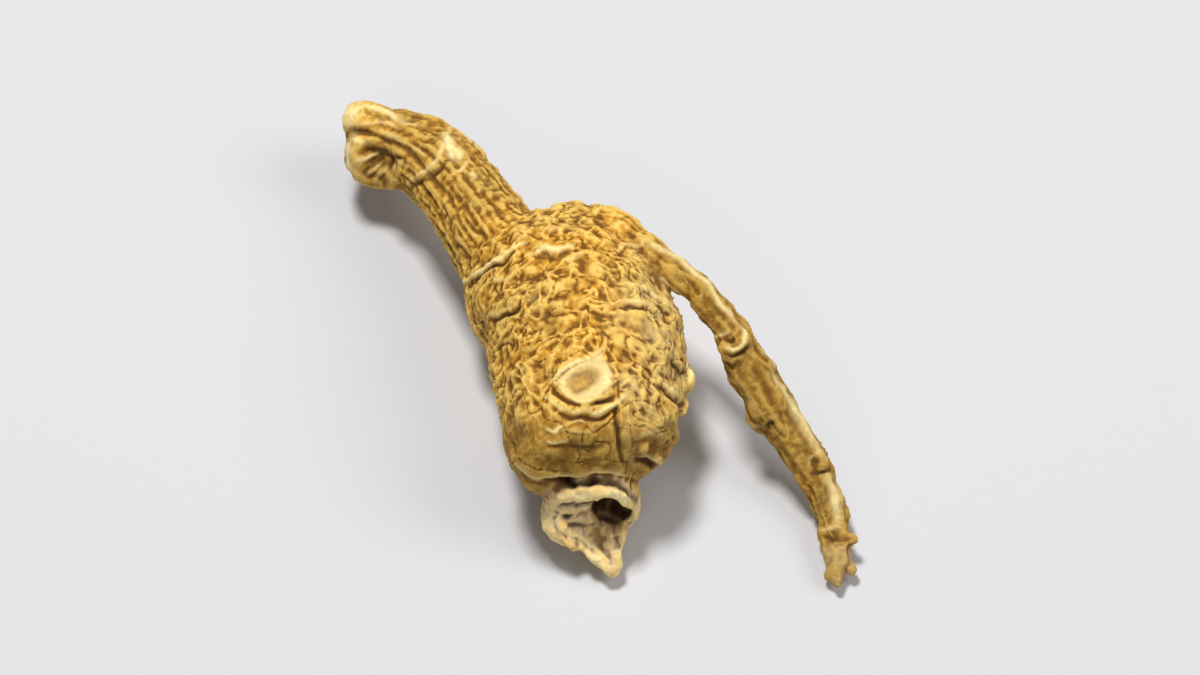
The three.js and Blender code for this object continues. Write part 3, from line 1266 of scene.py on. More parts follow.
BODY_STROKES = (
    # The ring at the neck, the pale bar below it, and the crease on the left shoulder.
    Stroke(((-8.5, 4.3), (-7.6, 5.2), (-6.6, 5.85), (-5.6, 6.35), (-4.8, 6.95), (-4.0, 7.3)),
           width=0.10, height=0.11, tint=1.0, gentle=2.5),
    crease((-8.2, 4.25), (-7.4, 5.0), (-6.45, 5.6), (-5.45, 6.1), (-4.7, 6.7),
           width=0.12, depth=0.24, dark=0.95),
    ridge((-3.6, 6.55), (-2.9, 6.9), (-2.0, 6.8), (-0.7, 7.1), width=0.26, height=0.34, pale=0.9),
    crease((-3.4, 6.2), (-2.6, 6.35), (-1.8, 6.35), (-0.7, 6.65), depth=0.14, dark=0.35),
    ridge((-3.0, 8.2), (-2.0, 8.1), (-1.2, 8.5), height=0.16, pale=0.25),
    ridge((-1.4, 6.2), (-0.9, 6.05), (-0.3, 6.3), height=0.14, pale=0.3),
    crease((-6.8, 1.85), (-6.0, 2.0), (-5.0, 2.35), (-4.5, 2.6), (-4.25, 3.2), width=0.15, dark=0.8),
    ridge((-7.0, 2.15), (-6.0, 2.4), (-5.1, 2.7), (-4.6, 3.3), (-4.5, 3.9), height=0.08, pale=0.25),
    ridge((-3.9, 3.1), (-3.5, 3.3), (-3.1, 3.65), height=0.14, pale=0.2),
    ridge((-6.3, 4.7), (-5.6, 4.75), (-5.0, 4.6), height=0.14, pale=0.4),
    crease((2.7, 2.9), (3.5, 2.8), (4.3, 2.65), depth=0.2, dark=0.6),
    ridge((2.6, 3.2), (3.6, 3.25), (4.3, 3.05), (5.0, 2.65), height=0.2),
    ridge((3.1, 4.4), (4.2, 4.3), (5.1, 3.7), (5.8, 3.1), (6.3, 2.5)),
    crease((5.1, 2.95), (5.6, 2.65), (6.1, 2.25), depth=0.22, dark=0.6),
    ridge((2.4, 6.9), (3.0, 7.1), (3.8, 6.9), height=0.2),
    ridge((1.3, -0.1), (1.5, 0.5), (1.2, 1.1), height=0.12, pale=0.3),
    crease((0.9, 1.6), (1.4, 1.5), (2.0, 1.7), depth=0.1, dark=0.35),
    # The eye-shaped scar and the folds that hang under it.
    streak((0.8, -1.3), (1.4, -1.7), (1.7, -2.2), (1.5, -2.8), (0.9, -3.1), height=0.10, pale=0.95),
    ridge((-2.3, -2.4), (-1.5, -1.65), (-0.6, -1.15), (0.4, -0.7), (1.4, -0.1), width=0.18, pale=0.9),
    ridge((-2.2, -2.3), (-1.5, -2.9), (-0.7, -3.5), (0.1, -3.8), (0.9, -3.55),
          width=0.16, height=0.16, pale=0.9),
    crease((-2.3, -2.6), (-1.8, -3.2), (-1.0, -3.8), (0.0, -4.05), width=0.16, dark=0.6),
    crease((0.5, -4.1), (1.0, -3.8), (1.7, -3.6), (2.2, -3.3), width=0.2, depth=0.3, dark=0.9),
    ridge((-2.8, -3.1), (-2.1, -3.75), (-1.3, -4.3), (-0.3, -4.45), (0.3, -4.2),
          width=0.2, height=0.26, pale=0.6),
    ridge((0.4, -4.3), (0.8, -4.65), (1.5, -4.2), (2.3, -3.85), (2.9, -3.2), height=0.3, pale=0.85),
    ridge((2.6, -2.7), (3.1, -2.35), (3.7, -2.8), (4.2, -3.1), height=0.16, pale=0.35),
    crease((-2.0, -4.2), (-1.1, -4.8), (0.0, -4.85), (0.8, -4.95), (1.7, -4.6), (2.3, -4.1),
           depth=0.22, dark=0.6),
    ridge((-2.6, -5.6), (-2.0, -5.85), (-1.4, -5.35), width=0.2, pale=0.9),
    ridge((-2.6, -6.4), (-2.1, -6.6), (-1.1, -6.4), width=0.18, height=0.2, pale=0.75),
    ridge((-1.0, -5.2), (-0.4, -5.1), (0.3, -5.15), width=0.14, height=0.12, pale=0.4),
    ridge((-0.9, -5.8), (-0.3, -5.9), (0.9, -5.7), width=0.18, height=0.14, pale=0.3),
    crease((-2.6, -6.85), (-1.2, -6.85), (0.0, -6.95), (1.2, -6.7), depth=0.16, dark=0.45),
    crease((2.35, -4.0), (2.3, -5.0), (2.45, -6.0), (2.5, -7.0), (2.75, -8.0), width=0.2, dark=0.6),
    ridge((3.1, -4.3), (3.1, -5.6), (3.15, -7.0), (3.4, -8.2), width=0.6, height=0.12, pale=0.1),
    ridge((3.5, -6.4), (4.2, -6.0), (5.0, -5.85), (5.8, -6.2), height=0.2, pale=0.35),
    # The right flank, with its knobbly edge.
    ridge((5.5, -2.3), (6.2, -2.9), (6.9, -3.6), width=0.24, height=0.16, pale=0.6),
    crease((5.4, -2.75), (6.1, -3.4), (6.6, -3.9), depth=0.3),
    crease((6.3, -0.9), (6.6, -1.6), (6.7, -2.4), dark=0.6),
    ridge((7.0, -1.3), (7.4, -1.8), (7.4, -2.4), width=0.26, height=0.3, pale=0.8),
    ridge((5.2, 0.6), (5.8, 0.2), (6.4, -0.4), height=0.16, pale=0.3),
    ridge((4.2, -7.4), (5.1, -7.85), (5.9, -8.3), width=0.26, height=0.36, pale=0.8),
    crease((3.7, -7.8), (4.5, -8.1), (5.5, -8.7), width=0.24, depth=0.4, dark=0.9),
    # The lip over the stub.
    ridge((-4.8, -7.9), (-3.9, -8.7), (-2.6, -8.9), (-1.0, -8.85), (0.4, -8.75),
          height=0.26, pale=0.55),
    ridge((0.2, -8.75), (1.3, -8.5), (2.6, -8.8), (3.5, -9.4), (4.1, -10.2), height=0.26),
    # Painted shadow: the gap under the lip, darkened to near black.
    crease((-2.8, -9.3), (-1.4, -9.4), (0.0, -9.35), (1.0, -9.1), (2.0, -9.25),
           width=0.3, depth=0.5, dark=1.0),
    crease((1.4, -9.1), (2.4, -9.4), (3.2, -10.0), (3.7, -10.9), width=0.3, depth=0.5, dark=1.0),
)

NECK_STROKES = (
    # The collar with its pale flakes.
    ridge((-12.4, 11.7), (-11.3, 12.3), (-10.5, 13.0), (-10.0, 13.9), (-9.7, 14.9), (-9.4, 15.6),
          width=0.3, height=0.42),
    ridge((-9.9, 14.7), (-9.4, 14.3), (-8.8, 13.5), (-8.7, 13.2), width=0.42, height=0.26, pale=0.95),
    ridge((-8.9, 15.2), (-8.4, 14.9), (-8.0, 14.5), height=0.2, pale=0.7),
    ridge((-7.8, 14.4), (-7.4, 14.1), (-7.0, 13.6), width=0.2, height=0.16, pale=0.6),
    ridge((-8.9, 12.4), (-8.5, 12.7), (-8.2, 13.1), width=0.16, height=0.14, pale=0.6),
    ridge((-8.1, 12.4), (-7.8, 12.2), (-7.5, 12.0), width=0.2, height=0.14, pale=0.7),
    crease((-12.2, 11.3), (-11.0, 11.9), (-10.2, 12.6), (-9.6, 13.2), depth=0.2, dark=0.5),
    # Ridges that run over the head to its lobe.
    ridge((-16.5, 16.6), (-15.6, 17.1), (-14.2, 16.7), (-13.0, 16.1), (-11.7, 15.8),
          width=0.28, height=0.26, pale=0.6),
    ridge((-16.6, 15.8), (-15.4, 15.9), (-14.0, 16.0), (-13.0, 15.5), height=0.2, pale=0.4),
    streak((-16.0, 17.2), (-16.5, 16.7), (-16.7, 16.1), (-16.4, 15.7), width=0.45),
    streak((-16.4, 15.0), (-16.6, 14.2), (-16.6, 13.3), (-16.1, 12.4)),
    streak((-9.8, 14.7), (-9.4, 14.1), (-9.0, 13.4), height=0.06, pale=1.0),
    crease((-16.8, 15.3), (-15.2, 15.2), (-13.6, 14.6), (-12.4, 13.9), (-11.3, 13.1),
           width=0.26, depth=0.22, dark=0.35),
    ridge((-15.0, 15.5), (-13.6, 14.95), (-12.2, 14.2), (-11.0, 13.5), width=0.2, height=0.2, pale=0.3),
    # The wrinkles of the stem scar.
    ridge((-16.8, 14.9), (-16.9, 13.9), (-16.8, 12.9), (-16.2, 12.0), (-15.4, 11.5),
          width=0.3, height=0.3, pale=0.75),
    ridge((-16.4, 14.8), (-15.9, 14.7), (-15.3, 14.4), width=0.26, height=0.2, pale=0.7),
    ridge((-16.2, 13.4), (-15.6, 13.35), (-15.0, 13.7), width=0.24, height=0.2, pale=0.7),
    ridge((-15.6, 12.3), (-15.0, 12.6), (-14.5, 13.0), width=0.2, height=0.16, pale=0.3),
    ridge((-14.9, 11.7), (-14.5, 12.2), (-14.1, 12.7), width=0.2, height=0.16, pale=0.3),
    ridge((-13.2, 12.0), (-13.4, 12.6), (-13.6, 13.0), width=0.2, height=0.14, pale=0.25),
    ridge((-12.2, 12.7), (-12.9, 13.1), (-13.5, 13.3), width=0.2, height=0.14, pale=0.2),
    crease((-15.3, 14.1), (-14.7, 13.9), (-14.2, 13.5), width=0.2, depth=0.2, dark=0.5),
    crease((-15.6, 12.7), (-15.0, 12.9), (-14.4, 13.1), width=0.14, depth=0.14, dark=0.4),
    crease((-12.6, 13.4), (-13.1, 13.4), (-13.6, 13.4), width=0.16, depth=0.14, dark=0.4),
    crease((-13.9, 12.8), (-13.9, 13.3), (-13.85, 13.7), width=0.24, depth=0.3, dark=1.0),
    crease((-8.3, 8.9), (-7.7, 8.3), (-7.0, 8.0), width=0.2, depth=0.2, dark=0.55),
)

STUB_STROKES = (
    # The gap under the body's lip, the rim of the stub, and the torn lips round its hollow.
    # Painted shadow: the gap under the lip, darkened to near black.
    crease((-2.8, -9.3), (-1.4, -9.45), (0.0, -9.4), (1.0, -9.2), (2.0, -9.35),
           width=0.35, depth=0.4, dark=1.0),
    crease((1.4, -9.2), (2.4, -9.5), (3.3, -10.1), (3.8, -11.0), width=0.3, depth=0.4, dark=1.0),
    ridge((-1.9, -10.5), (-0.6, -10.45), (0.8, -10.35), (1.8, -10.0), (2.6, -10.05), (3.3, -10.6),
          width=0.26, height=0.24, pale=0.9),
    streak((1.2, -10.3), (1.9, -10.15), (2.6, -10.35), (3.2, -10.9), width=0.42, pale=1.0),
    streak((-1.9, -10.45), (-0.9, -10.35), (0.2, -10.25), (1.3, -10.15),
           width=0.3, height=0.03, pale=0.75),
    streak((-2.3, -11.0), (-2.75, -12.1), (-2.5, -13.1), (-1.6, -13.6), width=0.42, pale=0.95),
    streak((-0.2, -14.0), (0.6, -14.7), (1.5, -15.6), (2.0, -16.1), width=0.3, height=0.03, pale=0.7),
    streak((3.9, -12.4), (3.3, -13.6), (2.9, -14.9), (2.3, -15.8), width=0.34, height=0.03, pale=0.95),
    ridge((3.3, -10.6), (3.65, -11.2), (3.6, -12.0), width=0.24, height=0.2),
    crease((-1.8, -10.95), (-0.6, -10.9), (0.7, -10.8), width=0.16, dark=0.8),
    ridge((-0.7, -11.15), (0.2, -11.1), (1.2, -11.0), width=0.15, height=0.18, pale=0.7),
    ridge((-2.2, -11.0), (-2.7, -12.1), (-2.7, -12.9), (-2.2, -13.5),
          width=0.26, height=0.24, pale=0.8),
    ridge((-1.5, -11.2), (-1.8, -12.1), (-1.3, -12.9), (-0.4, -13.05), (0.3, -13.6), (0.9, -14.0),
          width=0.2, height=0.24, pale=0.8),
    crease((-1.4, -11.6), (-1.0, -11.75), (-0.7, -11.5), depth=0.2, dark=0.8),
    crease((-1.1, -12.3), (-0.5, -12.4), (0.2, -12.3), depth=0.2),
    ridge((0.4, -11.7), (0.5, -12.0), (0.5, -12.2), pale=1.0),
    ridge((2.3, -11.15), (2.55, -11.1), (2.75, -11.2), width=0.2, height=0.18, pale=0.9),
    # Painted shade: the dark hollow under the pits.
    crease((1.0, -12.0), (1.5, -11.8), (2.1, -12.1), (2.8, -12.2), width=0.5, depth=0.3, dark=1.0),
    ridge((-0.1, -14.1), (0.8, -14.8), (1.2, -14.6), (1.6, -14.2), width=0.18, height=0.2, pale=0.8),
    ridge((0.9, -15.2), (1.5, -15.4), (2.0, -15.8), width=0.16, height=0.16, pale=0.7),
    ridge((4.0, -12.2), (3.5, -13.0), (3.0, -14.0), (2.75, -15.0), (2.3, -15.8), (1.9, -16.2),
          width=0.24, height=0.3, pale=1.0),
    crease((1.0, -13.5), (1.4, -14.1), (2.0, -14.8), depth=0.16, dark=0.4),
    ridge((1.7, -13.15), (2.3, -13.05), (2.9, -12.95), width=0.16, height=0.14, pale=0.6),
)

ROOTLET_STROKES = (
    # From the shoulder down: the pale upper edge, the large knot, the spur, the small knot and the end.
    ridge((5.5, 4.85), (6.2, 4.3), (6.9, 3.75), width=0.18, pale=1.0),
    crease((5.9, 4.0), (6.6, 3.4), (7.4, 2.8), width=0.22, depth=0.2, dark=0.6),
    ridge((4.0, 7.4), (5.6, 6.8), (7.2, 5.7), (8.6, 4.3), (9.8, 2.7), (10.8, 1.6), width=0.3, pale=0.7),
    ridge((10.9, 1.6), (11.2, 1.0), (11.1, 0.3), (10.5, -0.2), (9.9, -0.1),
          width=0.28, height=0.3, pale=0.8),
    crease((9.9, 0.6), (10.3, 0.5), (10.5, 0.8), depth=0.24, dark=0.8),
    ridge((9.2, 0.7), (9.8, 0.95), (10.3, 1.2), width=0.18, height=0.18, pale=0.7),
    crease((9.7, -0.5), (10.4, -0.65), (11.1, -0.3), (11.6, 0.3)),
    ridge((12.2, 0.1), (13.0, -0.8), (13.3, -1.5), width=0.3, height=0.2, pale=0.9),
    ridge((13.1, -1.8), (13.95, -3.1), (14.9, -4.6), (15.85, -6.2), (16.6, -7.4),
          width=0.3, height=0.2, pale=0.7),
    streak((14.4, -3.8), (15.3, -5.3), (16.1, -6.7), (16.7, -7.7), width=0.34, height=0.02, pale=0.45),
    ridge((9.9, -2.0), (10.9, -2.6), (11.6, -3.5), (12.2, -4.6), width=0.2, height=0.14, pale=0.35),
    crease((12.0, -1.6), (12.7, -2.8), (13.3, -4.1), width=0.3, depth=0.12, dark=0.25),
    crease((12.8, -5.5), (13.1, -5.3), (13.3, -5.5), width=0.2, depth=0.2, dark=0.8),
    ridge((11.5, -5.0), (11.6, -5.3), (12.2, -5.6), width=0.24, height=0.2),
    ridge((15.7, -8.2), (15.9, -7.65), (16.3, -7.45), (16.7, -7.8), width=0.15, height=0.14),
    crease((16.1, -8.2), (16.25, -8.0), (16.45, -8.15), width=0.2, depth=0.16, dark=0.6),
    crease((15.9, -8.8), (16.6, -8.75), (17.2, -8.6), width=0.15, depth=0.18, dark=0.6),
    crease((16.2, -9.4), (16.5, -10.4), (16.7, -11.5), width=0.34, depth=0.08, dark=0.3),
    ridge((17.2, -9.2), (17.6, -10.4), (17.8, -11.9), height=0.14, pale=0.7),
    streak((17.0, -8.9), (17.35, -9.8), (17.6, -11.0), (17.7, -12.2), height=0.03, pale=0.6),
    ridge((16.5, -12.7), (17.3, -12.6), (18.2, -12.5), height=0.14, pale=0.4),
    crease((16.8, -13.2), (17.3, -13.3), (17.8, -13.2), width=0.2, depth=0.2, dark=0.6),
)


@dataclass
class GinsengRoot:
    """The whole root, grown as one piece.

    Sizes are in millimetres, over the layout that LAYOUT_MIDDLE belongs to.

    Attributes:
        voxel: The size of the fused skin's faces.
        triangles: How many triangles the finished skin may have.
        rub: How many rounds of smoothing the fused skin gets.
        melt_rounds: How many more it gets where the rootlet leaves the body.
        melt_to: Where along the rootlet that starts to fade, and where it ends.
        fine_rounds: The smoothing that small crests are measured against.
        broad_rounds: The smoothing that large hollows are measured against.
        stray: How far the strokes stray from their routes.
        body, neck, head_lobe, stub, tongue, rootlet: The limbs.
        stem_scar, eye: The scars.
        strand_radius: The radius of the strands at the frayed end.
        strand_bend: How far the strands bend aside.
        strands: The start and the tip of each strand.
        torn_face: The middle and radius of the ball that hollows the stub.
        pits: The middle, radius and darkness of each pit, the darkness being painted shade.
        crown: The middle and radius of each ball under the start of the rootlet.
        torn_lip: Stations of the lip along the stub's torn face.
        folds: The body's folds. The last is a broad dent down its left side.
        body_knobs, rootlet_knobs: The small lumps of those limbs.
    """

    voxel: float = 0.135
    triangles: int = 192000
    rub: int = 7
    melt_rounds: int = 40
    melt_to: Spot = (0.20, 0.34)
    stray: float = 0.11
    fine_rounds: int = 12
    broad_rounds: int = 40
    body: PlumpBody = field(default_factory=lambda: PlumpBody(
        stations=(
            (-6.9, 9.7, 7.0, 2.9),
            (-5.9, 8.5, 7.0, 3.45),
            (-4.3, 6.8, 6.8, 5.2),
            (-1.95, 4.2, 6.7, 6.4),
            (-0.1, 0.8, 6.6, 7.0),
            (0.55, -2.7, 6.6, 6.65),
            (0.45, -5.8, 6.6, 6.25),
            (0.2, -8.2, 6.7, 5.8),
            (0.25, -9.8, 6.8, 5.15),
            (0.6, -11.3, 6.9, 3.9),
        ),
        caps=(0.9, 1.3),
        sides=96,
        undercut=(0.62, 0.36),
    ))
    neck: RibbedNeck = field(default_factory=lambda: RibbedNeck(
        stations=(
            (-3.9, 6.0, 7.0, 3.0),
            (-5.9, 8.5, 7.1, 3.25),
            (-8.0, 12.4, 7.0, 2.95),
            (-10.3, 16.2, 6.2, 2.9),
            (-12.5, 18.4, 5.2, 2.85),
            (-14.6, 19.2, 4.4, 2.75),
            (-16.95, 19.4, 4.05, 2.4),
        ),
        caps=(0.8, 1.5),
        sides=64,
    ))
    head_lobe: Limb = field(default_factory=lambda: Limb(
        stations=((-13.0, 18.7, 5.4, 1.9), (-15.2, 19.9, 6.3, 1.55), (-17.25, 20.3, 6.65, 1.15)),
        caps=(0.6, 1.0),
    ))
    stub: TornStub = field(default_factory=lambda: TornStub(
        stations=(
            (0.7, -7.0, 5.2, 2.6),
            (0.6, -9.5, 4.5, 3.1),
            (0.55, -11.2, 4.0, 3.35),
            (0.55, -12.4, 3.9, 3.15),
        ),
        caps=(0.8, 0.5),
    ))
    tongue: TornStub = field(default_factory=lambda: TornStub(
        stations=(
            (1.0, -10.6, 2.8, 2.2),
            (1.4, -13.1, 2.0, 1.65),
            (1.85, -14.3, 1.4, 0.9),
            (1.9, -15.4, 1.1, 0.4),
        ),
        caps=(0.8, 0.4),
    ))
    rootlet: KnottyRootlet = field(default_factory=lambda: KnottyRootlet(
        stations=(
            (1.0, 8.3, 9.7, 1.5),
            (2.5, 7.5, 10.0, 1.35),
            (4.2, 6.2, 10.2, 1.1),
            (5.9, 4.7, 10.0, 1.05),
            (7.6, 3.4, 9.7, 1.05),
            (9.1, 1.6, 9.2, 1.1),
            (10.4, 0.0, 8.5, 1.2),
            (11.3, -1.8, 7.6, 1.45),
            (12.4, -3.1, 6.5, 1.55),
            (13.45, -4.4, 5.3, 1.5),
            (14.6, -5.7, 4.2, 1.42),
            (15.65, -7.1, 3.2, 1.36),
            (16.55, -8.6, 2.4, 1.22),
            (17.1, -9.9, 1.8, 1.1),
            (17.45, -11.5, 1.4, 1.0),
            (17.7, -13.5, 1.1, 0.95),
            (17.8, -14.8, 1.1, 0.8),
        ),
        sides=28,
    ))
    stem_scar: OvalScar = field(default_factory=lambda: OvalScar(
        centre=(-14.5, 16.9, 6.0),
        normal=(-0.25, -0.72, 0.64),
        across=(1.0, 0.0, 0.3),
        radii=(2.1, 1.8),
        depth=0.6,
    ))
    strand_radius: float = 0.5
    strand_bend: float = 0.25
    strands: tuple = (
        ((17.5, -13.6, 1.1), (16.9, -15.4, 0.9)),
        ((17.7, -13.8, 1.2), (17.8, -16.1, 1.1)),
        ((17.8, -13.6, 1.1), (18.7, -15.3, 0.9)),
        ((17.5, -12.2, 1.5), (19.2, -12.9, 2.0)),
    )
    torn_face: tuple = ((1.2, -14.0, 4.5), 2.6)
    pits: tuple = (
        ((1.75, -11.75, 4.1), 1.15, 1.0),
        ((2.35, -11.9, 4.2), 0.95, 1.0),
        ((-14.1, 17.3, 5.5), 0.45, 0.6),
    )
    crown: tuple = (
        ((-0.8, 8.3, 9.4), 2.05),
        ((0.4, 8.35, 9.55), 1.7),
    )
    torn_lip: tuple = (
        (-1.9, -10.6, 4.0, 0.8),
        (-2.0, -11.8, 3.6, 0.95),
        (-1.55, -12.6, 3.1, 1.0),
        (-0.7, -13.0, 2.7, 0.95),
        (0.4, -13.2, 2.3, 0.85),
    )
    eye: EyeScar = EyeScar(
        corners=(
            (-2.1, -2.3), (-1.1, -3.2), (0.1, -3.75), (1.2, -3.4),
            (2.0, -2.7), (2.1, -1.8), (1.3, -0.3), (-0.5, -1.15),
        ),
        middle=(0.0, -2.25),
        radii=(1.5, 0.95),
        tilt=30.0,
        depth=0.14,
    )
    folds: tuple = (
        Fold(((0.42, 200.0), (0.46, 232.0), (0.42, 262.0))),
        Fold(((0.60, 288.0), (0.56, 318.0), (0.62, 348.0))),
        Fold(((0.20, 178.0), (0.36, 176.0), (0.52, 178.0)), height=-0.5, crease=0.0, width=2.2),
    )
    body_knobs: tuple = (
        Knob(0.65, 6.0, 0.55),
        Knob(0.71, 0.0, 0.6),
        Knob(0.95, 4.0, 0.6),
        Knob(0.965, 24.0, 0.5),
        Knob(0.38, 232.0, 0.7),
        Knob(0.30, 320.0, 0.8),
    )
    rootlet_knobs: tuple = (
        Knob(0.43, 88.0, 0.75),
        Knob(0.445, 132.0, 0.7),
        Knob(0.60, 205.0, 0.65),
        Knob(0.744, 66.0, 0.5),
    )

    def limbs(self) -> list[Limb]:
        """Every limb that has a relief of its own."""
        return [self.body, self.neck, self.head_lobe, self.stub, self.tongue, self.rootlet]

    def rough(self) -> tuple[Shape, list[Shape]]:
        """The limbs, knobs and strands as closed shells, and the hollows to cut.

        Returns:
            All the shells in one shape, and one shape for each hollow.
        """
        shells = [limb.tube() for limb in self.limbs()]
        shells += [knob.shape(self.body) for knob in self.body_knobs]
        shells += [knob.shape(self.rootlet) for knob in self.rootlet_knobs]
        for number, (start, tip) in enumerate(self.strands):
            bend = np.array((self.strand_bend * (-1) ** number, 0.0, 0.0))
            middle = (np.array(start) + np.array(tip)) / 2 + bend
            stations = (
                (*start, self.strand_radius),
                (*middle, 0.8 * self.strand_radius),
                (*tip, 0.45 * self.strand_radius),
            )
            shells.append(Limb(stations, caps=(0.3, 0.3), sides=14).tube())
        shells.append(Limb(self.torn_lip, caps=(0.6, 0.6), sides=24).tube())
        shells += [ball((radius,) * 3, 40, 26).placed(np.eye(3), centre) for centre, radius in self.crown]
        hollows = [self.torn_face, *((centre, radius) for centre, radius, _ in self.pits)]
        cutters = [ball((radius,) * 3, 48, 30).placed(np.eye(3), centre) for centre, radius in hollows]
        return joined(shells), cutters

    def shares(self, points: Array) -> tuple[list[Place], Array]:
        """How much each limb's bark counts at surface points.

        Args:
            points: The surface points.

        Returns:
            Where the points lie on each limb, and one row of shares for each limb.
        """
        places = [limb.place(points) for limb in self.limbs()]
        near = np.stack([bump(np.maximum(0.0, place.height), 0.0, 0.5) + 1e-9 for place in places])
        return places, near / near.sum(axis=0)

    def build(self) -> bpy.types.Object:
        """Make the root's mesh and store what its bark reads.

        Returns:
            The root.
        """
        shells, hollows = self.rough()
        log.info("rough shells: %d points", len(shells.points))
        fine = fused(shells, hollows, self.voxel)
        skin = Skin(fine.points, np.array(fine.faces))
        skin.points = skin.relaxed(self.rub)
        log.info("fused skin: %d faces", len(skin.faces))
        places, shares = self.shares(skin.points)
        melt = shares[0] * shares[-1] * 4.0 * (1.0 - smoothstep(places[-1].along, *self.melt_to))
        skin.points = skin.relaxed(self.melt_rounds, np.clip(melt, 0.0, 1.0))
        bark = sum(share * limb.relief(place) for limb, share, place in zip(self.limbs(), shares, places))
        bark += self.stem_scar.relief(skin.points, 0.26)
        tangent = self.body.at(places[0].along, self.body.tangent)
        for fold in self.folds:
            bark += shares[0] * fold.relief(self.body, skin.points, tangent)
        drawing = self.drawn(skin, shares)
        skin.points = skin.lifted(bark * (1.0 - drawing.calm) + drawing.height)
        skin.points[:, 2] = np.maximum(skin.points[:, 2], 0.0)
        marks = self.marks(skin, shares)
        marks[Mark.PALE] = drawing.pale
        # Painted shade in creases, gaps and pits, with the eye scar's own brown patch.
        marks[Mark.DARK] = np.maximum(drawing.dark, self.inside_pits(skin.points))
        whole = Shape((skin.points - LAYOUT_MIDDLE) * MM, skin.faces.tolist())
        thing = whole.mesh_object("ginseng_root_bark")
        for mark, values in marks.items():
            layer = thing.data.attributes.new(mark.value, "FLOAT", "POINT")
            layer.data.foreach_set("value", np.clip(values, 0.0, 1.0).astype(np.float32))
        thin(thing, self.triangles)
        thing.data.shade_smooth()
        return thing

    def drawn(self, skin: Skin, shares: Array) -> Drawing:
        """Draw every limb's strokes and the eye-shaped scar.

        Args:
            skin: The skin before its relief.
            shares: How much each limb counts at the skin's points.

        Returns:
            What they do to each point.
        """
        facing = smoothstep(skin.normals() @ SIGHT.towards(), -0.05, 0.25)
        stray = np.stack([swell(skin.points / 1.0, seed) for seed in (96, 97)], axis=1)
        seen = SIGHT.seen(skin.points) + self.stray * stray
        uneven = 1.0 + 0.35 * swell(skin.points / 1.3, 94)
        drawing = Drawing(*np.zeros((4, len(seen))))
        body, neck, lobe, stub, tongue, rootlet = shares
        groups = (
            (BODY_STROKES, body),
            (NECK_STROKES, neck + lobe),
            (STUB_STROKES, stub + tongue),
            (ROOTLET_STROKES, rootlet),
        )
        for strokes, share in groups:
            shown = facing * smoothstep(share, 0.05, 0.5) * uneven
            for stroke in strokes:
                raised, tinted = stroke.weights(seen)
                drawing.add(stroke, raised * shown, tinted * shown)
        flat = self.eye.flat(seen) * facing * shares[0]
        patch = self.eye.patch(seen) * flat
        drawing.height -= self.eye.depth * patch
        drawing.pale = np.maximum(drawing.pale, 0.6 * flat) * (1.0 - 0.75 * patch)
        drawing.dark = np.maximum(drawing.dark, 0.12 * patch)
        drawing.calm = np.clip(np.maximum(drawing.calm, 0.9 * flat), 0.0, 1.0)
        return drawing

    def inside_pits(self, points: Array) -> Array:
        """The painted shade inside the pits: how dark it makes points, falling to 0 just outside them.

        Args:
            points: The points.

        Returns:
            One share for each point.
        """
        shade = np.zeros(len(points))
        for centre, radius, darkness in self.pits:
            outside = np.linalg.norm(points - np.array(centre), axis=1) - radius
            shade = np.maximum(shade, darkness * (1.0 - smoothstep(outside, 0.0, 0.24)))
        return shade

    def marks(self, skin: Skin, shares: Array) -> dict[Mark, Array]:
        """Values for the bark, from 0 to 1, at each point of the finished skin.

        Args:
            skin: The finished skin.
            shares: How much each limb counts at the skin's points.

        Returns:
            One array for each mark that the shape gives, with some values outside 0 to 1.
        """
        fine = skin.prominence(self.fine_rounds)
        broad = skin.prominence(self.broad_rounds)
        seen = SIGHT.seen(skin.points)
        near = -skin.points[:, 1]
        wander = swell(skin.points / 2.5, 98)
        body, neck, _, stub, tongue, rootlet = shares
        broken = stub + tongue
        frayed = smoothstep(near, 12.6, 13.6) * smoothstep(skin.points[:, 0], 15.0, 16.0)
        # Painted shade: the lower body and the far part of the rootlet are darkened brown.
        shaded_lower_body = body * smoothstep(-seen[:, 1] + wander, 3.6, 6.2)
        shaded_far_rootlet = rootlet * smoothstep(seen[:, 0], 2.5, 7.5)
        lit_break = broken * smoothstep(near, 11.2, 12.0)
        return {
            # Pale on crests and dark in crevices: partly painted highlight and painted shade.
            Mark.CREST: 0.5 + 8.5 * fine + 0.8 * broad,
            # Painted shade in the broad hollows, eased on the lit lower part of the break.
            Mark.HOLLOW_SHADE: smoothstep(-broad, 0.25, 0.8) * (1.0 - 0.6 * lit_break),
            Mark.TORN: np.maximum(broken * smoothstep(near, 10.4, 11.2), 0.2 * frayed),
            Mark.OLIVE: body * smoothstep(seen[:, 0] + 1.2 * wander, 1.0, 5.5),
            # Painted shade: darker brown over the lower body, the neck and the far rootlet.
            Mark.BROWN: shaded_lower_body + 0.65 * neck + shaded_far_rootlet,
        }

    def dress(self, thing: bpy.types.Object) -> None:
        """Give the root its bark and tie it to the frame.

        Args:
            thing: The root.
        """
        thing.data.materials.append(Bark().material())
        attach(thing, BODY_NAME)
        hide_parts(NODE)


def aimed(place: Vector, target: Vector) -> Euler:
    """The turn that points a camera or a lamp at a target."""
    return (target - place).to_track_quat("-Z", "Y").to_euler()


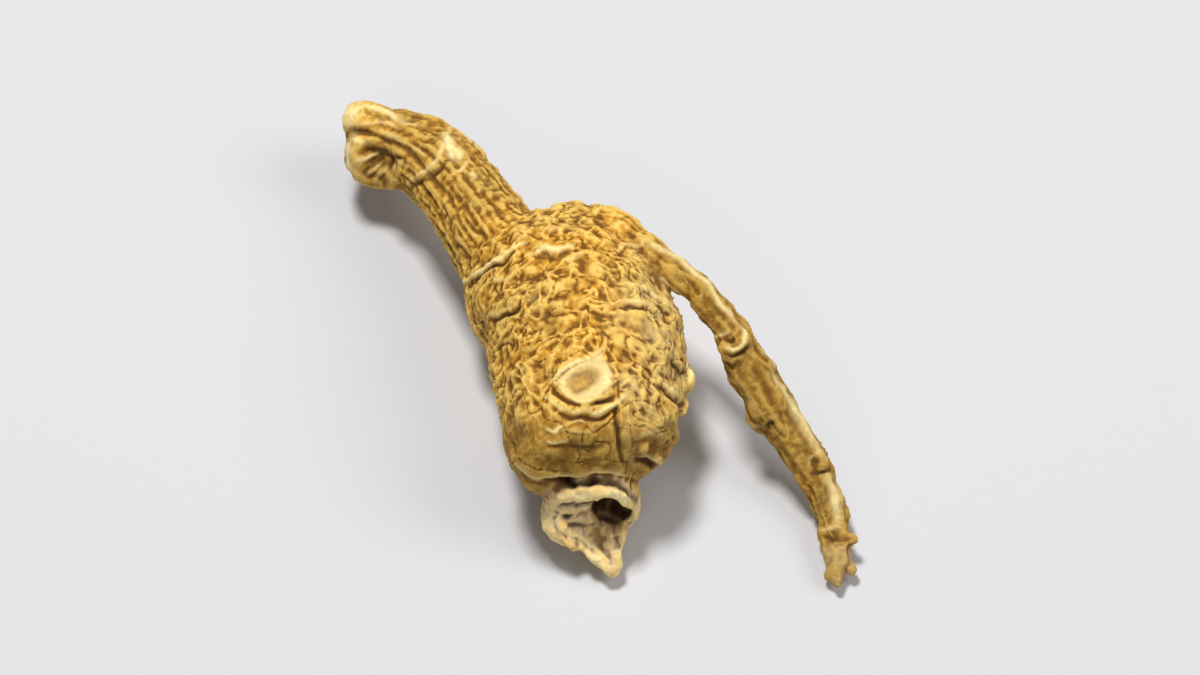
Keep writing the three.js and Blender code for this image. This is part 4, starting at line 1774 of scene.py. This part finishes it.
@dataclass(frozen=True)
class Lamp:
    """A soft square light, with its place and size in metres and its power in watts."""

    name: str
    place: tuple[float, float, float]
    size: float
    power: float

    def build(self, target: Vector) -> None:
        """Hang the lamp so that it faces a target.

        Args:
            target: Where it points.
        """
        glow = bpy.data.lights.new(self.name, "AREA")
        glow.size = self.size
        glow.energy = self.power
        thing = bpy.data.objects.new(self.name, glow)
        thing.location = self.place
        thing.rotation_euler = aimed(Vector(self.place), target)
        bpy.context.scene.collection.objects.link(thing)


@dataclass(frozen=True)
class Studio:
    """Soft lights, a dim sky and the camera."""

    distance: float = 0.60
    frame_width: float = 0.084
    sensor: float = 36.0
    target: tuple[float, float, float] = (0.0, -0.0023, 0.0070)
    lamps: tuple[Lamp, ...] = (
        Lamp("key", (-0.08, 0.10, 0.46), 0.10, 2.05),
        Lamp("fill", (0.32, -0.04, 0.34), 0.26, 0.74),
        Lamp("front", (-0.06, -0.40, 0.30), 0.30, 0.24),
    )
    sky_colour: tuple = (0.92, 0.95, 1.0, 1.0)
    sky_strength: float = 0.18

    def build(self) -> None:
        """Place the camera, the lamps and the sky."""
        target = Vector(self.target)
        self.camera(target)
        for lamp in self.lamps:
            lamp.build(target)
        world = bpy.data.worlds.new("soft_room")
        world.use_nodes = True
        sky = world.node_tree.nodes["Background"]
        sky.inputs["Color"].default_value = self.sky_colour
        sky.inputs["Strength"].default_value = self.sky_strength
        bpy.context.scene.world = world
        bpy.context.scene.view_settings.view_transform = "Standard"

    def camera(self, target: Vector) -> None:
        """Stand the camera where the root is shown from.

        Args:
            target: Where it points.
        """
        place = target + self.distance * Vector(SIGHT.towards())
        lens = bpy.data.cameras.new("camera")
        lens.sensor_width = self.sensor
        lens.lens = self.sensor * self.distance / self.frame_width
        lens.clip_start = 0.01
        camera = bpy.data.objects.new("camera", lens)
        camera.location = place
        camera.rotation_euler = aimed(place, target)
        bpy.context.scene.collection.objects.link(camera)
        bpy.context.scene.camera = camera


def main() -> None:
    """Build the root, the floor and the studio in order."""
    logging.basicConfig(level=logging.INFO, format="%(name)s: %(message)s")
    root = GinsengRoot()
    thing = root.build()
    log.info("root: %d points", len(thing.data.vertices))
    root.dress(thing)
    log.info("bark: dressed")
    Floor().build()
    log.info("floor: laid")
    Studio().build()
    log.info("studio: camera and lights placed")


if __name__ == "__main__":
    main()
